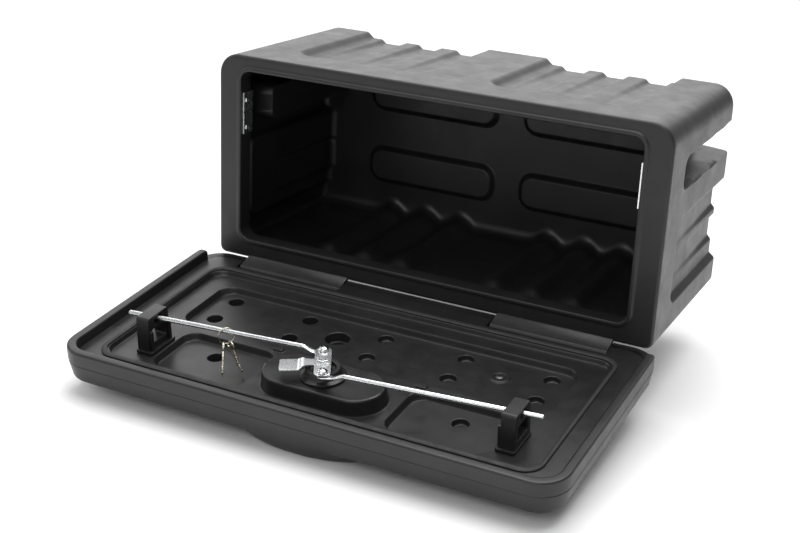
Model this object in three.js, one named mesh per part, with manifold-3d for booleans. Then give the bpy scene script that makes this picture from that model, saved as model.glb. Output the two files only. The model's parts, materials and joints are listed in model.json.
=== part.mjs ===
// Truck tool box with a drop-down lid, a two-rod turning latch and moulded hinges.
// Millimetres, +X to the right, +Y to the back, +Z up.
// The pieces are drawn with the body's front face at y = 0 and its bottom at z = 0; the whole
// assembly is then moved so that the origin is the centre of the flat rear face.
// The lid is drawn closed and turned open about its hinge axis.

import * as THREE from 'three';
import { mergeVertices } from 'three/addons/utils/BufferGeometryUtils.js';
import Module from 'manifold-3d';

const wasm = await Module();
wasm.setup();

// ---------------------------------------------------------------- driving dimensions

const GAP = 0.3;                       // clearance between pieces that touch

const BODY = { width: 620, height: 278, depth: 273, wall: 5 };
const BODY_TOP_RADIUS = 28;
const BODY_BOTTOM_RADIUS = 10;
const BODY_REAR_RADIUS = 18;
const TOP_DRAFT = 1.37;                // degrees that the roof falls towards the back
const SIDE_DRAFT = 0.54;               // degrees that each side closes towards the back
const GROOVE_START = 58;               // where the pressed grooves begin behind the front band

const OPENING = { halfWidth: 275, bottom: 27, top: 258, radius: 14 };
const FRAME = { depth: 22, thickness: 4 };
const LIP = { width: 6, height: 2.5 };

const SLOT = { depth: 42, bottom: 186, top: 224, start: 60, radius: 10 };

const LID = { halfWidth: 324, bottom: -26, top: 303.6, radius: 37 };
const LID_PLANE_Y = -4;                // the lid's inner rim, closed, stands this far off the face
const LID_FACE = -32.6;                // height of the outer face below the rim plane
const LID_LIP = 12.2;                  // height of the raised edge above the rim plane
const LID_EDGE = 12;                   // thickness of the raised edge
const LID_SKIN = 4;
const LIP_START_Z = 0.1;               // the raised edge stops here beside the hinges

const HINGE = { y: -14.7, z: -12.4, radius: 11.5, inner: 107.5, outer: 262, pinRadius: 2.5 };
const OPEN_ANGLE = 96.43;

const CHANNEL_FLOOR = -6;
const RECESS_FLOOR = -14.6;
const LINER_SKIN = 3;
const SEAL = { halfWidth: 288, bottom: 10, top: 276, width: 5.4, height: 2.5, radius: 24 };

const LATCH_Z = 219.2;                 // height of the latch spindle on the closed box
const POCKET = { halfLength: 72.4, halfWidth: 30.4, floor: 7 };
const PAD = { halfLength: 128, halfWidth: 88, rise: 15.5, slope: 26, offset: 10 };
const HOUSING_TOP = 14;

const UNLOCKED = 61.7;                 // degrees the latch turns between locked and unlocked
const CRANK = 25.3;                    // distance from the spindle to each rod pivot
const ROD = { radius: 3, height: 34, length: 259.3, eyeHeight: 29.2, eyeRadius: 6.5 };
const ROD_TILT = 5.63;                 // degrees each rod leans at rest
const GUIDE = { inner: 230, outer: 248, halfWidth: 22, top: 41, slotHalfWidth: 7 };
const TONGUE = { reach: 50, halfWidth: 11, step: 24 };

const STRIKE = { bottom: 172, top: 228, thickness: 2, returnWidth: 11 };
const STRIKE_SCREWS = [179.5, 216.5];

const BLACK = 0x1b1b1c;

// ---------------------------------------------------------------- geometry helpers

const rad = THREE.MathUtils.degToRad;

// height above the lid's rim plane -> y with the lid closed
const lidY = (height) => LID_PLANE_Y + height;

// A closed three.js geometry as a solid for joining and cutting.
function solid(geometry) {
  const bare = geometry.index ? geometry.toNonIndexed() : geometry.clone();
  bare.deleteAttribute('normal');
  bare.deleteAttribute('uv');
  const merged = mergeVertices(bare, 1e-4);
  const vertProperties = new Float32Array(merged.attributes.position.array);
  const triVerts = new Uint32Array(merged.index.array);
  return new wasm.Manifold(new wasm.Mesh({ numProp: 3, vertProperties, triVerts }));
}

function toGeometry(body) {
  const mesh = body.getMesh();
  const geometry = new THREE.BufferGeometry();
  geometry.setAttribute('position', new THREE.BufferAttribute(new Float32Array(mesh.vertProperties), 3));
  geometry.setIndex(new THREE.BufferAttribute(new Uint32Array(mesh.triVerts), 1));
  return geometry;
}

const join = (parts) => parts.reduce((whole, part) => whole.add(part));
const cut = (body, tools) => tools.reduce((rest, tool) => rest.subtract(tool), body);

// A geometry mirrored left to right, with its faces turned outwards again.
function mirrored(geometry) {
  const flat = geometry.index ? geometry.toNonIndexed() : geometry.clone();
  const p = flat.attributes.position;
  const out = new Float32Array(p.count * 3);
  for (let i = 0; i < p.count; i += 3) {
    [i, i + 2, i + 1].forEach((from, k) => {
      out.set([-p.getX(from), p.getY(from), p.getZ(from)], (i + k) * 3);
    });
  }
  const result = new THREE.BufferGeometry();
  result.setAttribute('position', new THREE.BufferAttribute(out, 3));
  return result;
}

function box(x0, x1, y0, y1, z0, z1) {
  return new THREE.BoxGeometry(x1 - x0, y1 - y0, z1 - z0)
    .translate((x0 + x1) / 2, (y0 + y1) / 2, (z0 + z1) / 2);
}

// A rectangle with rounded corners, from (x0, z0) to (x1, z1).
function roundedRect(x0, x1, z0, z1, topRadius, bottomRadius = topRadius) {
  const shape = new THREE.Shape();
  shape.moveTo(x0 + bottomRadius, z0);
  shape.lineTo(x1 - bottomRadius, z0);
  shape.absarc(x1 - bottomRadius, z0 + bottomRadius, bottomRadius, -Math.PI / 2, 0);
  shape.lineTo(x1, z1 - topRadius);
  shape.absarc(x1 - topRadius, z1 - topRadius, topRadius, 0, Math.PI / 2);
  shape.lineTo(x0 + topRadius, z1);
  shape.absarc(x0 + topRadius, z1 - topRadius, topRadius, Math.PI / 2, Math.PI);
  shape.lineTo(x0, z0 + bottomRadius);
  shape.absarc(x0 + bottomRadius, z0 + bottomRadius, bottomRadius, Math.PI, Math.PI * 1.5);
  return shape;
}

// A shape drawn in (x, z), extruded from y0 to y1.
function alongY(shape, y0, y1, curveSegments = 4) {
  const geometry = new THREE.ExtrudeGeometry(shape, { depth: y1 - y0, bevelEnabled: false, curveSegments });
  return geometry.rotateX(Math.PI / 2).translate(0, y1, 0);
}

// A shape drawn in (y, z), extruded from x0 to x1.
function alongX(shape, x0, x1, curveSegments = 4) {
  const geometry = new THREE.ExtrudeGeometry(shape, { depth: x1 - x0, bevelEnabled: false, curveSegments });
  const turn = new THREE.Matrix4().set(0, 0, 1, x0, 1, 0, 0, 0, 0, 1, 0, 0, 0, 0, 0, 1);
  return geometry.applyMatrix4(turn);
}

// A round bar along Y.
function barY(radius, y0, y1, segments = 16, farRadius = radius) {
  return new THREE.CylinderGeometry(farRadius, radius, y1 - y0, segments).translate(0, (y0 + y1) / 2, 0);
}

// A round bar along X at the height and depth of an axis.
function barX(radius, x0, x1, y, z, segments = 12) {
  const half = Math.PI / segments;
  return new THREE.CylinderGeometry(radius, radius, x1 - x0, segments)
    .rotateY(half).rotateZ(-Math.PI / 2).translate((x0 + x1) / 2, y, z);
}

// A shape drawn in (x, z) lofted back along Y; the stations run from the back to the front and
// each gives the bottom, the top and the half width of the section there.
function loftAlongY(shape, size, stations, curveSegments) {
  const last = stations.length - 1;
  const options = { depth: last, steps: last, bevelEnabled: false, curveSegments };
  const geometry = new THREE.ExtrudeGeometry(shape, options);
  const p = geometry.attributes.position;
  for (let i = 0; i < p.count; i += 1) {
    const s = stations[Math.round(p.getZ(i))];
    const share = (p.getY(i) - size.bottom) / (size.top - size.bottom);
    p.setXYZ(i, p.getX(i) * (s.halfWidth / size.halfWidth), s.y, s.bottom + share * (s.top - s.bottom));
  }
  return geometry;
}

// A pressed pocket: a flat floor at -depth with this outline, and walls that open outwards by
// slope up to the surface at 0. It is open above.
function pocket(outline, depth, slope, curveSegments = 3) {
  const options = {
    depth: 20, bevelEnabled: true, bevelThickness: depth, bevelSize: slope, bevelSegments: 1, curveSegments,
  };
  return new THREE.ExtrudeGeometry(outline, options);
}

// Turns a pocket drawn on a level plane onto each face of the body.
const ON_BOTTOM = new THREE.Matrix4().makeRotationX(Math.PI);
const ON_RIGHT = new THREE.Matrix4().set(0, 0, 1, 0, 1, 0, 0, 0, 0, 1, 0, 0, 0, 0, 0, 1);
const ON_BACK = new THREE.Matrix4().set(-1, 0, 0, 0, 0, 0, 1, 0, 0, 1, 0, 0, 0, 0, 0, 1);

// ---------------------------------------------------------------- body shell

const RUN_OUT = 40;                    // grooves that reach the back run this far past it
const GROUP_LEFT_EDGES = [-235, 42.5]; // where each group of roof grooves starts
const GROUP_WIDTH = 194;
const GROUP = { depth: 8, slope: 12 };
const ROOF_CHANNELS = [                // floor of each channel, from the group's left edge
  { from: 31, to: 56 },
  { from: 91, to: 110 },
  { from: 150, to: 172 },
];
const CHANNEL = { depth: 5.5, slope: 7 };
const SIDE_GROUP = { bottom: 36, top: 150 };
const SIDE_CHANNELS = [{ from: 68, to: 92 }, { from: 112, to: 138 }];
const BOTTOM_GROOVES = [-180, -124, -68, 68, 124, 180];
const BOTTOM_GROOVE = { halfWidth: 5, depth: 12, slope: 8 };
const BACK_PANELS = [{ bottom: 53, top: 106 }, { bottom: 162, top: 216 }];
const BACK_PANEL = { inner: 20, outer: 220, depth: 8, slope: 9, radius: 16 };

// The channel floors fall towards the back, so the channels deepen along their length.
const CHANNEL_FALL = Math.atan(CHANNEL.depth / (BODY.depth - GROOVE_START));

function bodyBlock(inset) {
  const size = { halfWidth: BODY.width / 2 - inset, bottom: inset, top: BODY.height - inset };
  const shape = roundedRect(-size.halfWidth, size.halfWidth, size.bottom, size.top,
    BODY_TOP_RADIUS - inset, BODY_BOTTOM_RADIUS - inset);
  const rearRadius = BODY_REAR_RADIUS - inset;
  const rear = BODY.depth - inset;
  const section = (y, round) => ({
    y,
    halfWidth: size.halfWidth - y * Math.tan(rad(SIDE_DRAFT)) - round,
    bottom: size.bottom + round,
    top: size.top - y * Math.tan(rad(TOP_DRAFT)) - round,
  });
  const stations = [90, 60, 30, 0].map((angle) => section(
    rear - rearRadius * (1 - Math.sin(rad(angle))),
    rearRadius * (1 - Math.cos(rad(angle))),
  ));
  stations.push(section(inset, 0));
  return solid(loftAlongY(shape, size, stations, 5));
}

// All pressed pockets and grooves; grow is the wall thickness for the inner skin, or 0 outside.
function pressings(grow) {
  const tools = [];
  const end = BODY.depth + RUN_OUT;
  const roof = (geometry) => geometry.rotateX(-rad(TOP_DRAFT)).translate(0, 0, BODY.height);
  const deepening = (geometry) => geometry
    .translate(0, -GROOVE_START, CHANNEL.depth)
    .rotateX(-CHANNEL_FALL)
    .translate(0, GROOVE_START, -GROUP.depth);

  GROUP_LEFT_EDGES.forEach((edge) => {
    const outline = roundedRect(edge + GROUP.slope - grow, edge + GROUP_WIDTH - GROUP.slope + grow,
      GROOVE_START + GROUP.slope - grow, end, 2, 12);
    tools.push(roof(pocket(outline, GROUP.depth + grow, GROUP.slope)));
    ROOF_CHANNELS.forEach(({ from, to }) => {
      const channel = roundedRect(edge + from - grow, edge + to + grow, GROOVE_START + 6 - grow, end, 2, 8);
      tools.push(roof(deepening(pocket(channel, CHANNEL.depth + grow, CHANNEL.slope))));
    });
  });

  const side = (geometry) => {
    geometry.applyMatrix4(ON_RIGHT).rotateZ(rad(SIDE_DRAFT)).translate(BODY.width / 2, 0, 0);
    tools.push(geometry, mirrored(geometry));
  };
  const sideSlope = GROUP.depth;
  side(pocket(roundedRect(GROOVE_START + sideSlope - grow, end,
    SIDE_GROUP.bottom + sideSlope - grow, SIDE_GROUP.top - sideSlope + grow, 12), GROUP.depth + grow, sideSlope));
  SIDE_CHANNELS.forEach(({ from, to }) => {
    const channel = pocket(roundedRect(GROOVE_START + 6 - grow, end, from - grow, to + grow, 8),
      CHANNEL.depth + grow, CHANNEL.slope);
    channel.translate(-GROOVE_START, 0, CHANNEL.depth).rotateY(CHANNEL_FALL).translate(GROOVE_START, 0, -GROUP.depth);
    side(channel);
  });
  const slot = roundedRect(SLOT.start - grow, end, SLOT.bottom - grow, SLOT.top + grow, SLOT.radius);
  const hook = alongX(slot, BODY.width / 2 - SLOT.depth - grow, BODY.width / 2 + 20, 4);
  tools.push(hook, mirrored(hook));

  BOTTOM_GROOVES.forEach((x) => {
    const half = BOTTOM_GROOVE.halfWidth + grow;
    const outline = roundedRect(x - half, x + half, -end, -(GROOVE_START + 8 - grow), 4);
    tools.push(pocket(outline, BOTTOM_GROOVE.depth + grow, BOTTOM_GROOVE.slope, 2).applyMatrix4(ON_BOTTOM));
  });

  BACK_PANELS.forEach(({ bottom, top }) => {
    const inner = BACK_PANEL.inner + BACK_PANEL.slope - grow;
    const outer = BACK_PANEL.outer - BACK_PANEL.slope + grow;
    const outline = roundedRect(inner, outer, bottom + BACK_PANEL.slope - grow, top - BACK_PANEL.slope + grow,
      BACK_PANEL.radius);
    const panel = pocket(outline, BACK_PANEL.depth + grow, BACK_PANEL.slope, 4)
      .applyMatrix4(ON_BACK).translate(0, BODY.depth, 0);
    tools.push(panel, mirrored(panel));
  });
  return tools.map(solid);
}

function openingShape(outset) {
  return roundedRect(-OPENING.halfWidth - outset, OPENING.halfWidth + outset,
    OPENING.bottom - outset, OPENING.top + outset, OPENING.radius + outset);
}

// One moulded hinge barrel with the web that carries it below the body's front edge.
function hingeKnuckle() {
  const web = new THREE.Shape();
  web.moveTo(0.5, 4);
  web.lineTo(-17.6, -9);
  web.lineTo(-11.8, -15.8);
  web.lineTo(8, 1);
  const barrel = solid(barX(HINGE.radius, HINGE.inner, HINGE.outer, HINGE.y, HINGE.z, 18));
  const bore = solid(barX(HINGE.pinRadius + GAP, HINGE.inner - 1, HINGE.outer + 1, HINGE.y, HINGE.z, 12));
  return barrel.add(solid(alongX(web, HINGE.inner, HINGE.outer))).subtract(bore);
}

function screwHoles(radius, x0, x1) {
  return STRIKE_SCREWS.map((z) => solid(barX(radius, x0, x1, 9, z, 8)));
}

function bodyShell() {
  const cavity = cut(bodyBlock(BODY.wall), pressings(BODY.wall));
  const shell = cut(bodyBlock(0), [...pressings(0), cavity]);
  const frame = solid(alongY(openingShape(FRAME.thickness), 0, FRAME.depth));
  const lip = solid(alongY(openingShape(LIP.width), -LIP.height, BODY.wall / 2));
  const opening = solid(alongY(openingShape(0), -LIP.height - 1, FRAME.depth + 1));
  const knuckle = toGeometry(hingeKnuckle());
  const whole = join([shell, frame, lip, solid(knuckle), solid(mirrored(knuckle))]);
  const holes = screwHoles(2.3, OPENING.halfWidth - 1, OPENING.halfWidth + FRAME.thickness + 1);
  const leftHoles = screwHoles(2.3, -OPENING.halfWidth - FRAME.thickness - 1, -OPENING.halfWidth + 1);
  return toGeometry(cut(whole, [opening, ...holes, ...leftHoles]));
}

// ---------------------------------------------------------------- strikes and hinge pins

function strikePlate() {
  const inside = OPENING.halfWidth - GAP;
  const face = inside - STRIKE.thickness;
  const back = FRAME.depth + GAP;
  const leaf = solid(box(face, inside, 2, back + STRIKE.thickness, STRIKE.bottom, STRIKE.top));
  const returnLeaf = solid(box(face, face + STRIKE.returnWidth, back, back + STRIKE.thickness,
    STRIKE.bottom, STRIKE.top));
  return toGeometry(cut(leaf.add(returnLeaf), screwHoles(2.3, face - 1, inside + 1)));
}

function strikeScrew(z) {
  const face = OPENING.halfWidth - GAP - STRIKE.thickness - GAP;
  const head = new THREE.SphereGeometry(4, 10, 6).scale(0.55, 1, 1).translate(face, 9, z);
  const dome = solid(head).subtract(solid(box(face, face + 10, 0, 20, z - 10, z + 10)));
  return toGeometry(dome.add(solid(barX(2, face - 1, OPENING.halfWidth + FRAME.thickness + 5, 9, z, 8))));
}

function hingePin() {
  return barX(HINGE.pinRadius, HINGE.inner - 14, HINGE.outer + 14, HINGE.y, HINGE.z, 12);
}

// ---------------------------------------------------------------- lid

function lidOutline(inset, radius = LID.radius - inset) {
  return roundedRect(-LID.halfWidth + inset, LID.halfWidth - inset, LID.bottom + inset, LID.top - inset, radius);
}

function stadium(halfLength, halfWidth) {
  return roundedRect(-halfLength, halfLength, LATCH_Z - halfWidth, LATCH_Z + halfWidth, halfWidth - 0.01);
}

// Openings in the lid's lower edge for the body's hinge barrels, and the bores for the pins.
function hingeClearance() {
  const reach = HINGE.radius + 1;
  const x0 = HINGE.inner - 1;
  const x1 = HINGE.outer + 1;
  const notch = box(x0, x1, HINGE.y - reach - 0.2, LID_PLANE_Y + 20, LID.bottom - 5, HINGE.z + reach + 1);
  const bore = barX(HINGE.pinRadius + GAP, x0 - 16, x1 + 16, HINGE.y, HINGE.z, 12);
  return [notch, mirrored(notch), bore, mirrored(bore)].map(solid);
}

// Solid cheeks that hold each pin on both sides of a barrel.
function hingeCheeks() {
  const cheeks = [];
  [[HINGE.inner - 18, HINGE.inner], [HINGE.outer, HINGE.outer + 18]].forEach(([x0, x1]) => {
    const cheek = box(x0, x1, lidY(LID_FACE + 1), lidY(-LINER_SKIN - GAP), LID.bottom + 3, HINGE.z + 9);
    cheeks.push(solid(cheek), solid(mirrored(cheek)));
  });
  return cheeks;
}

// The raised oval round the handle on the outer face, kept inside the lid's outline.
function handlePad() {
  const oval = new THREE.Shape();
  oval.absellipse(0, LATCH_Z + PAD.offset, PAD.halfLength - PAD.slope, PAD.halfWidth - PAD.slope, 0, Math.PI * 2);
  const options = {
    depth: 2, bevelEnabled: true, bevelThickness: PAD.rise, bevelSize: PAD.slope, bevelSegments: 3, curveSegments: 10,
  };
  const pad = new THREE.ExtrudeGeometry(oval, options);
  // the shape's own z runs backwards into the lid, with the shrunk rim on the outer side
  const turn = new THREE.Matrix4().set(-1, 0, 0, 0, 0, 0, 1, lidY(LID_FACE), 0, 1, 0, 0, 0, 0, 0, 1);
  const inside = solid(alongY(lidOutline(5), lidY(LID_FACE) - 20, lidY(LID_FACE) + 2));
  return solid(pad.applyMatrix4(turn)).intersect(inside);
}

function lidOuterPanel() {
  const face = lidY(LID_FACE);
  const size = { halfWidth: LID.halfWidth, bottom: LID.bottom, top: LID.top };
  const section = (y, inset) => ({
    y, halfWidth: LID.halfWidth - inset, bottom: LID.bottom + inset, top: LID.top - inset,
  });
  const stations = [
    section(lidY(LID_LIP), 0), section(lidY(-8), 0), section(face + 9, 3), section(face + 3, 5.5), section(face, 10),
  ];
  const block = solid(loftAlongY(lidOutline(0), size, stations, 6));
  const hollow = solid(alongY(lidOutline(6, 30), face + LID_SKIN, lidY(-LINER_SKIN - 0.6)));
  const mouthShape = roundedRect(-LID.halfWidth + LID_EDGE, LID.halfWidth - LID_EDGE,
    LID.bottom + 4, LID.top - LID_EDGE, LID.radius - LID_EDGE, 20);
  const mouth = solid(alongY(mouthShape, lidY(-LINER_SKIN - 1), lidY(LID_LIP) + 5));
  const belowLip = solid(box(-400, 400, LID_PLANE_Y, 40, -60, LIP_START_Z));
  const cup = solid(alongY(stadium(POCKET.halfLength + 3, POCKET.halfWidth + 3), face, lidY(POCKET.floor + 3.3), 5));
  const well = solid(alongY(stadium(POCKET.halfLength, POCKET.halfWidth), face - 30, lidY(POCKET.floor), 5));
  const bore = solid(barY(7, lidY(POCKET.floor) - 1, lidY(POCKET.floor) + 5, 12).translate(0, 0, LATCH_Z));
  const hollowed = cut(block, [hollow, mouth, belowLip]);
  const whole = join([hollowed, ...hingeCheeks(), handlePad(), cup]);
  return toGeometry(cut(whole, [well, bore, ...hingeClearance()]));
}

const DIMPLE = { radius: 12, foot: 9, big: 19, skin: 2.5 };
const DIMPLE_COLUMNS = [-221, -109.4, 0, 109.4, 221];
const DIMPLE_ROWS = [66.2, 116.4];
const FRONT_DIMPLES = [-164.4, 164.4];
const FRONT_DIMPLE_Z = 198.6;
const BIG_DIMPLE = { x: -55, z: 91.6 };
const PANEL_SCREW = { x: 163, z: 87.6 };

// A cup pressed from the recess floor down to the outer panel.
function dimple(x, z, radius, foot, grow, top) {
  const bottom = LID_FACE + LID_SKIN + GAP + (grow ? 0 : DIMPLE.skin);
  const wall = grow ? DIMPLE.skin : 0;
  return solid(barY(foot + wall, lidY(bottom), lidY(top), 12, radius + wall).translate(x, 0, z));
}

function dimpleCups(grow, top) {
  const cups = [];
  DIMPLE_COLUMNS.forEach((x) => {
    DIMPLE_ROWS.forEach((z) => cups.push(dimple(x, z, DIMPLE.radius, DIMPLE.foot, grow, top)));
  });
  FRONT_DIMPLES.forEach((x) => cups.push(dimple(x, FRONT_DIMPLE_Z, DIMPLE.radius, DIMPLE.foot, grow, top)));
  cups.push(dimple(BIG_DIMPLE.x, BIG_DIMPLE.z, DIMPLE.big, DIMPLE.big - 4, grow, top));
  return cups;
}

// The lid's floor is pressed down in one long recess and a shorter pocket on each side of the handle.
function recesses(y0, y1, outset) {
  const rear = roundedRect(-250 - outset, 250 + outset, 43.5 - outset, 156 + outset, 20);
  const front = alongY(roundedRect(92 - outset, 222 + outset, 168 - outset, 255 + outset, 20), y0, y1);
  return [solid(alongY(rear, y0, y1)), solid(front), solid(mirrored(front))];
}

function lidInnerPanel() {
  const rimShape = roundedRect(-LID.halfWidth + LID_EDGE + GAP, LID.halfWidth - LID_EDGE - GAP,
    LID.bottom + 4 + GAP, LID.top - LID_EDGE - GAP, LID.radius - LID_EDGE - GAP, 20 - GAP);
  const channelShape = (outset) => roundedRect(-282.5 - outset, 282.5 + outset,
    19 - outset, 266.5 + outset, 20 + outset);
  const skin = LINER_SKIN;
  const housing = solid(alongY(stadium(79, 36.8), lidY(RECESS_FLOOR - skin), lidY(HOUSING_TOP), 5));
  const housingInside = solid(alongY(stadium(76, 33.8), lidY(RECESS_FLOOR - skin - 1), lidY(HOUSING_TOP - skin), 5));
  const bore = solid(barY(7, lidY(HOUSING_TOP - skin) - 1, lidY(HOUSING_TOP) + 1, 12).translate(0, 0, LATCH_Z));
  const screwBore = solid(barY(2.4, lidY(RECESS_FLOOR - skin - 1), lidY(RECESS_FLOOR + 1), 8)
    .translate(PANEL_SCREW.x, 0, PANEL_SCREW.z));

  const tray = join([
    solid(alongY(rimShape, lidY(-skin), lidY(0))),
    solid(alongY(channelShape(skin), lidY(CHANNEL_FLOOR - skin), lidY(-1))),
    ...recesses(lidY(RECESS_FLOOR - skin), lidY(-1), skin),
    ...dimpleCups(true, RECESS_FLOOR - 1),
  ]);
  const channel = solid(alongY(channelShape(0), lidY(CHANNEL_FLOOR), lidY(1)));
  const hollowed = cut(tray, [channel, ...recesses(lidY(RECESS_FLOOR), lidY(1), 0)]);
  const fitted = cut(hollowed.add(housing), [housingInside, bore, screwBore]);
  return toGeometry(cut(fitted, [...dimpleCups(false, RECESS_FLOOR + 1), ...hingeClearance()]));
}

function lidSeal() {
  const outer = roundedRect(-SEAL.halfWidth, SEAL.halfWidth, SEAL.bottom, SEAL.top, SEAL.radius);
  const inner = roundedRect(-SEAL.halfWidth + SEAL.width, SEAL.halfWidth - SEAL.width,
    SEAL.bottom + SEAL.width, SEAL.top - SEAL.width, SEAL.radius - SEAL.width);
  const ring = solid(alongY(outer, lidY(GAP), lidY(GAP + SEAL.height)));
  return toGeometry(ring.subtract(solid(alongY(inner, lidY(-1), lidY(10)))));
}

function rodGuide() {
  const foot = lidY(CHANNEL_FLOOR + GAP);
  const top = lidY(GUIDE.top);
  const z0 = LATCH_Z - GUIDE.halfWidth;
  const z1 = LATCH_Z + GUIDE.halfWidth;
  const block = solid(box(GUIDE.inner, GUIDE.outer, foot, top, z0, z1));
  const base = solid(box(GUIDE.inner - 5, GUIDE.outer + 1, foot, foot + 5, z0 - 3, z1 + 3));
  const slot = solid(box(GUIDE.inner - 10, GUIDE.outer + 10, lidY(ROD.height - 4.5), lidY(ROD.height + 4.5),
    LATCH_Z - GUIDE.slotHalfWidth, LATCH_Z + GUIDE.slotHalfWidth));
  const window = solid(box(GUIDE.inner - 10, GUIDE.outer + 10, foot + 12, lidY(ROD.height - 10), LATCH_Z - 13,
    LATCH_Z + 13));
  return toGeometry(cut(block.add(base), [slot, window]));
}

function panelScrew() {
  const seat = lidY(RECESS_FLOOR) + GAP;
  const head = barY(5, seat, seat + 2, 12, 3.5);
  const shank = barY(2, seat - 9, seat + 0.5, 8);
  return toGeometry(solid(head).add(solid(shank)));
}

// ---------------------------------------------------------------- latch, drawn about its spindle

function spindleBushing() {
  const foot = lidY(HOUSING_TOP) + GAP;
  const profile = [[6.2, 0], [27, 0], [27, 3], [22, 4.5], [20.5, 12.5], [6.2, 12.5], [6.2, 0]];
  const points = profile.map(([r, y]) => new THREE.Vector2(r, y));
  return new THREE.LatheGeometry(points, 24).translate(0, foot, 0);
}

function handle() {
  const outer = lidY(-39);
  const hub = solid(barY(19, lidY(-30), lidY(POCKET.floor - 1.5), 20));
  const grip = solid(alongY(roundedRect(-29, 29, -9, 9, 8.9), outer, lidY(-14), 4));
  const core = solid(barY(17, outer, lidY(-29), 20));
  const lockBore = solid(barY(9 + GAP, outer - 1, lidY(-12), 16));
  const spindleBore = solid(barY(5.5 + GAP, lidY(-9), lidY(POCKET.floor), 12));
  return toGeometry(cut(join([hub, grip, core]), [lockBore, spindleBore]));
}

function lockCylinder() {
  const sleeve = solid(barY(9, lidY(-38.5), lidY(-12 - GAP), 16));
  const collar = solid(barY(11, lidY(-41), lidY(-39 - GAP), 20));
  const neck = solid(barY(9, lidY(-40), lidY(-38), 16));
  return toGeometry(join([sleeve, collar, neck]).subtract(solid(barY(6.5 + GAP, lidY(-42), lidY(-14), 16))));
}

function lockPlug() {
  const plug = solid(barY(6.5, lidY(-40.5), lidY(-14 - GAP), 16));
  return toGeometry(plug.subtract(solid(box(-1, 1, lidY(-42), lidY(-22), -4, 4))));
}

function spindle() {
  const shaft = solid(barY(5.5, lidY(-9 + GAP), lidY(31), 12));
  return toGeometry(shaft.add(solid(barY(3.5, lidY(30), lidY(39), 12))));
}

// The latch plate carries both rod pivots and the stepped tongue that hooks behind the frame.
function latchPlate() {
  const bottom = lidY(31 + GAP);
  const top = lidY(34);
  const bar = solid(alongY(roundedRect(-31.5, 31.5, -9.5, 9.5, 6), bottom, top));
  const neck = solid(box(-TONGUE.halfWidth, TONGUE.halfWidth, bottom, top, 0, TONGUE.step + 3));
  const stepDown = solid(box(-TONGUE.halfWidth, TONGUE.halfWidth, lidY(27.8), top, TONGUE.step, TONGUE.step + 3));
  const tab = solid(box(-TONGUE.halfWidth, TONGUE.halfWidth, lidY(27.8), lidY(30.6), TONGUE.step, TONGUE.reach));
  const centre = solid(barY(3.5 + GAP, bottom - 1, top + 1, 12));
  const pivots = [-CRANK, CRANK].map((x) => solid(barY(2.4 + GAP, bottom - 1, top + 1, 10).translate(x, 0, 0)));
  return toGeometry(cut(join([bar, neck, stepDown, tab]), [centre, ...pivots]));
}

function spindleNut() {
  const nut = solid(barY(7, lidY(34 + GAP), lidY(37.5), 6));
  return toGeometry(nut.subtract(solid(barY(3.5 + GAP, lidY(33), lidY(39), 12))));
}

function pivotScrew() {
  const seat = lidY(34 + GAP);
  const dome = solid(new THREE.SphereGeometry(6.3, 14, 8).scale(1, 0.75, 1).translate(0, seat, 0))
    .subtract(solid(box(-10, 10, seat - 10, seat, -10, 10)));
  return toGeometry(dome.add(solid(barY(2.4, lidY(27.6), seat + 1, 10))));
}

// A lock rod drawn from its pivot along +X: a flattened eye, a short joggle and a straight bar.
function lockRod() {
  const eyeY = lidY(ROD.eyeHeight);
  const barLevel = lidY(ROD.height);
  const eye = barY(ROD.eyeRadius, eyeY - 1.4, eyeY + 1.4, 14);
  const flat = box(0, 15, eyeY - 1.4, eyeY + 1.4, -3.6, 3.6);
  const route = new THREE.CurvePath();
  const joggleStart = new THREE.Vector3(13, eyeY, 0);
  const joggleEnd = new THREE.Vector3(28, barLevel, 0);
  route.add(new THREE.CubicBezierCurve3(joggleStart, new THREE.Vector3(20, eyeY, 0),
    new THREE.Vector3(21, barLevel, 0), joggleEnd));
  const section = new THREE.Shape();
  section.absarc(0, 0, ROD.radius, 0, Math.PI * 2);
  const joggle = new THREE.ExtrudeGeometry(section, { steps: 5, curveSegments: 5, extrudePath: route.curves[0] });
  const bar = barX(ROD.radius, joggleEnd.x - 0.5, ROD.length, barLevel, 0, 10);
  const body = join([solid(eye), solid(flat), solid(joggle), solid(bar)]);
  return toGeometry(body.subtract(solid(barY(2.4 + GAP, eyeY - 5, eyeY + 5, 10))));
}

// ---------------------------------------------------------------- keys

const RING = { radius: 10.2, wire: 0.9 };
const KEY = { length: 42, bow: 7, thickness: 1.8, shank: 3, hole: 3.2 };

function keyRing() {
  return new THREE.TorusGeometry(RING.radius, RING.wire, 6, 24);
}

// A flat key in the XZ plane, hanging from the hole in its bow at the origin.
function flatKey() {
  const outline = new THREE.Shape();
  outline.absarc(0, -3.5, KEY.bow, Math.PI * 1.5 + 0.5, Math.PI * 1.5 - 0.5 + Math.PI * 2);
  outline.lineTo(-KEY.shank, -KEY.length + 7);
  outline.lineTo(0, -KEY.length + 4);
  outline.lineTo(KEY.shank, -KEY.length + 8);
  const hole = new THREE.Path();
  hole.absarc(0, 0, KEY.hole, 0, Math.PI * 2, true);
  outline.holes.push(hole);
  return alongY(outline, -KEY.thickness / 2, KEY.thickness / 2, 5);
}

// ---------------------------------------------------------------- materials and assembly

const finish = (color, roughness, metalness) => () => (
  new THREE.MeshStandardMaterial({ color, roughness, metalness }));
const shellPlastic = finish(BLACK, 0.55, 0);
const linerPlastic = finish(0x1e1e1f, 0.5, 0);
const guidePlastic = finish(0x161616, 0.6, 0);
const rubber = finish(0x111111, 0.8, 0);
const zinc = finish(0xc3c9cc, 0.35, 1);
const chrome = finish(0xdadddf, 0.15, 1);
const steel = finish(0x9a9c9e, 0.4, 1);
const nickel = finish(0xd6d3c4, 0.3, 1);

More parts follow.
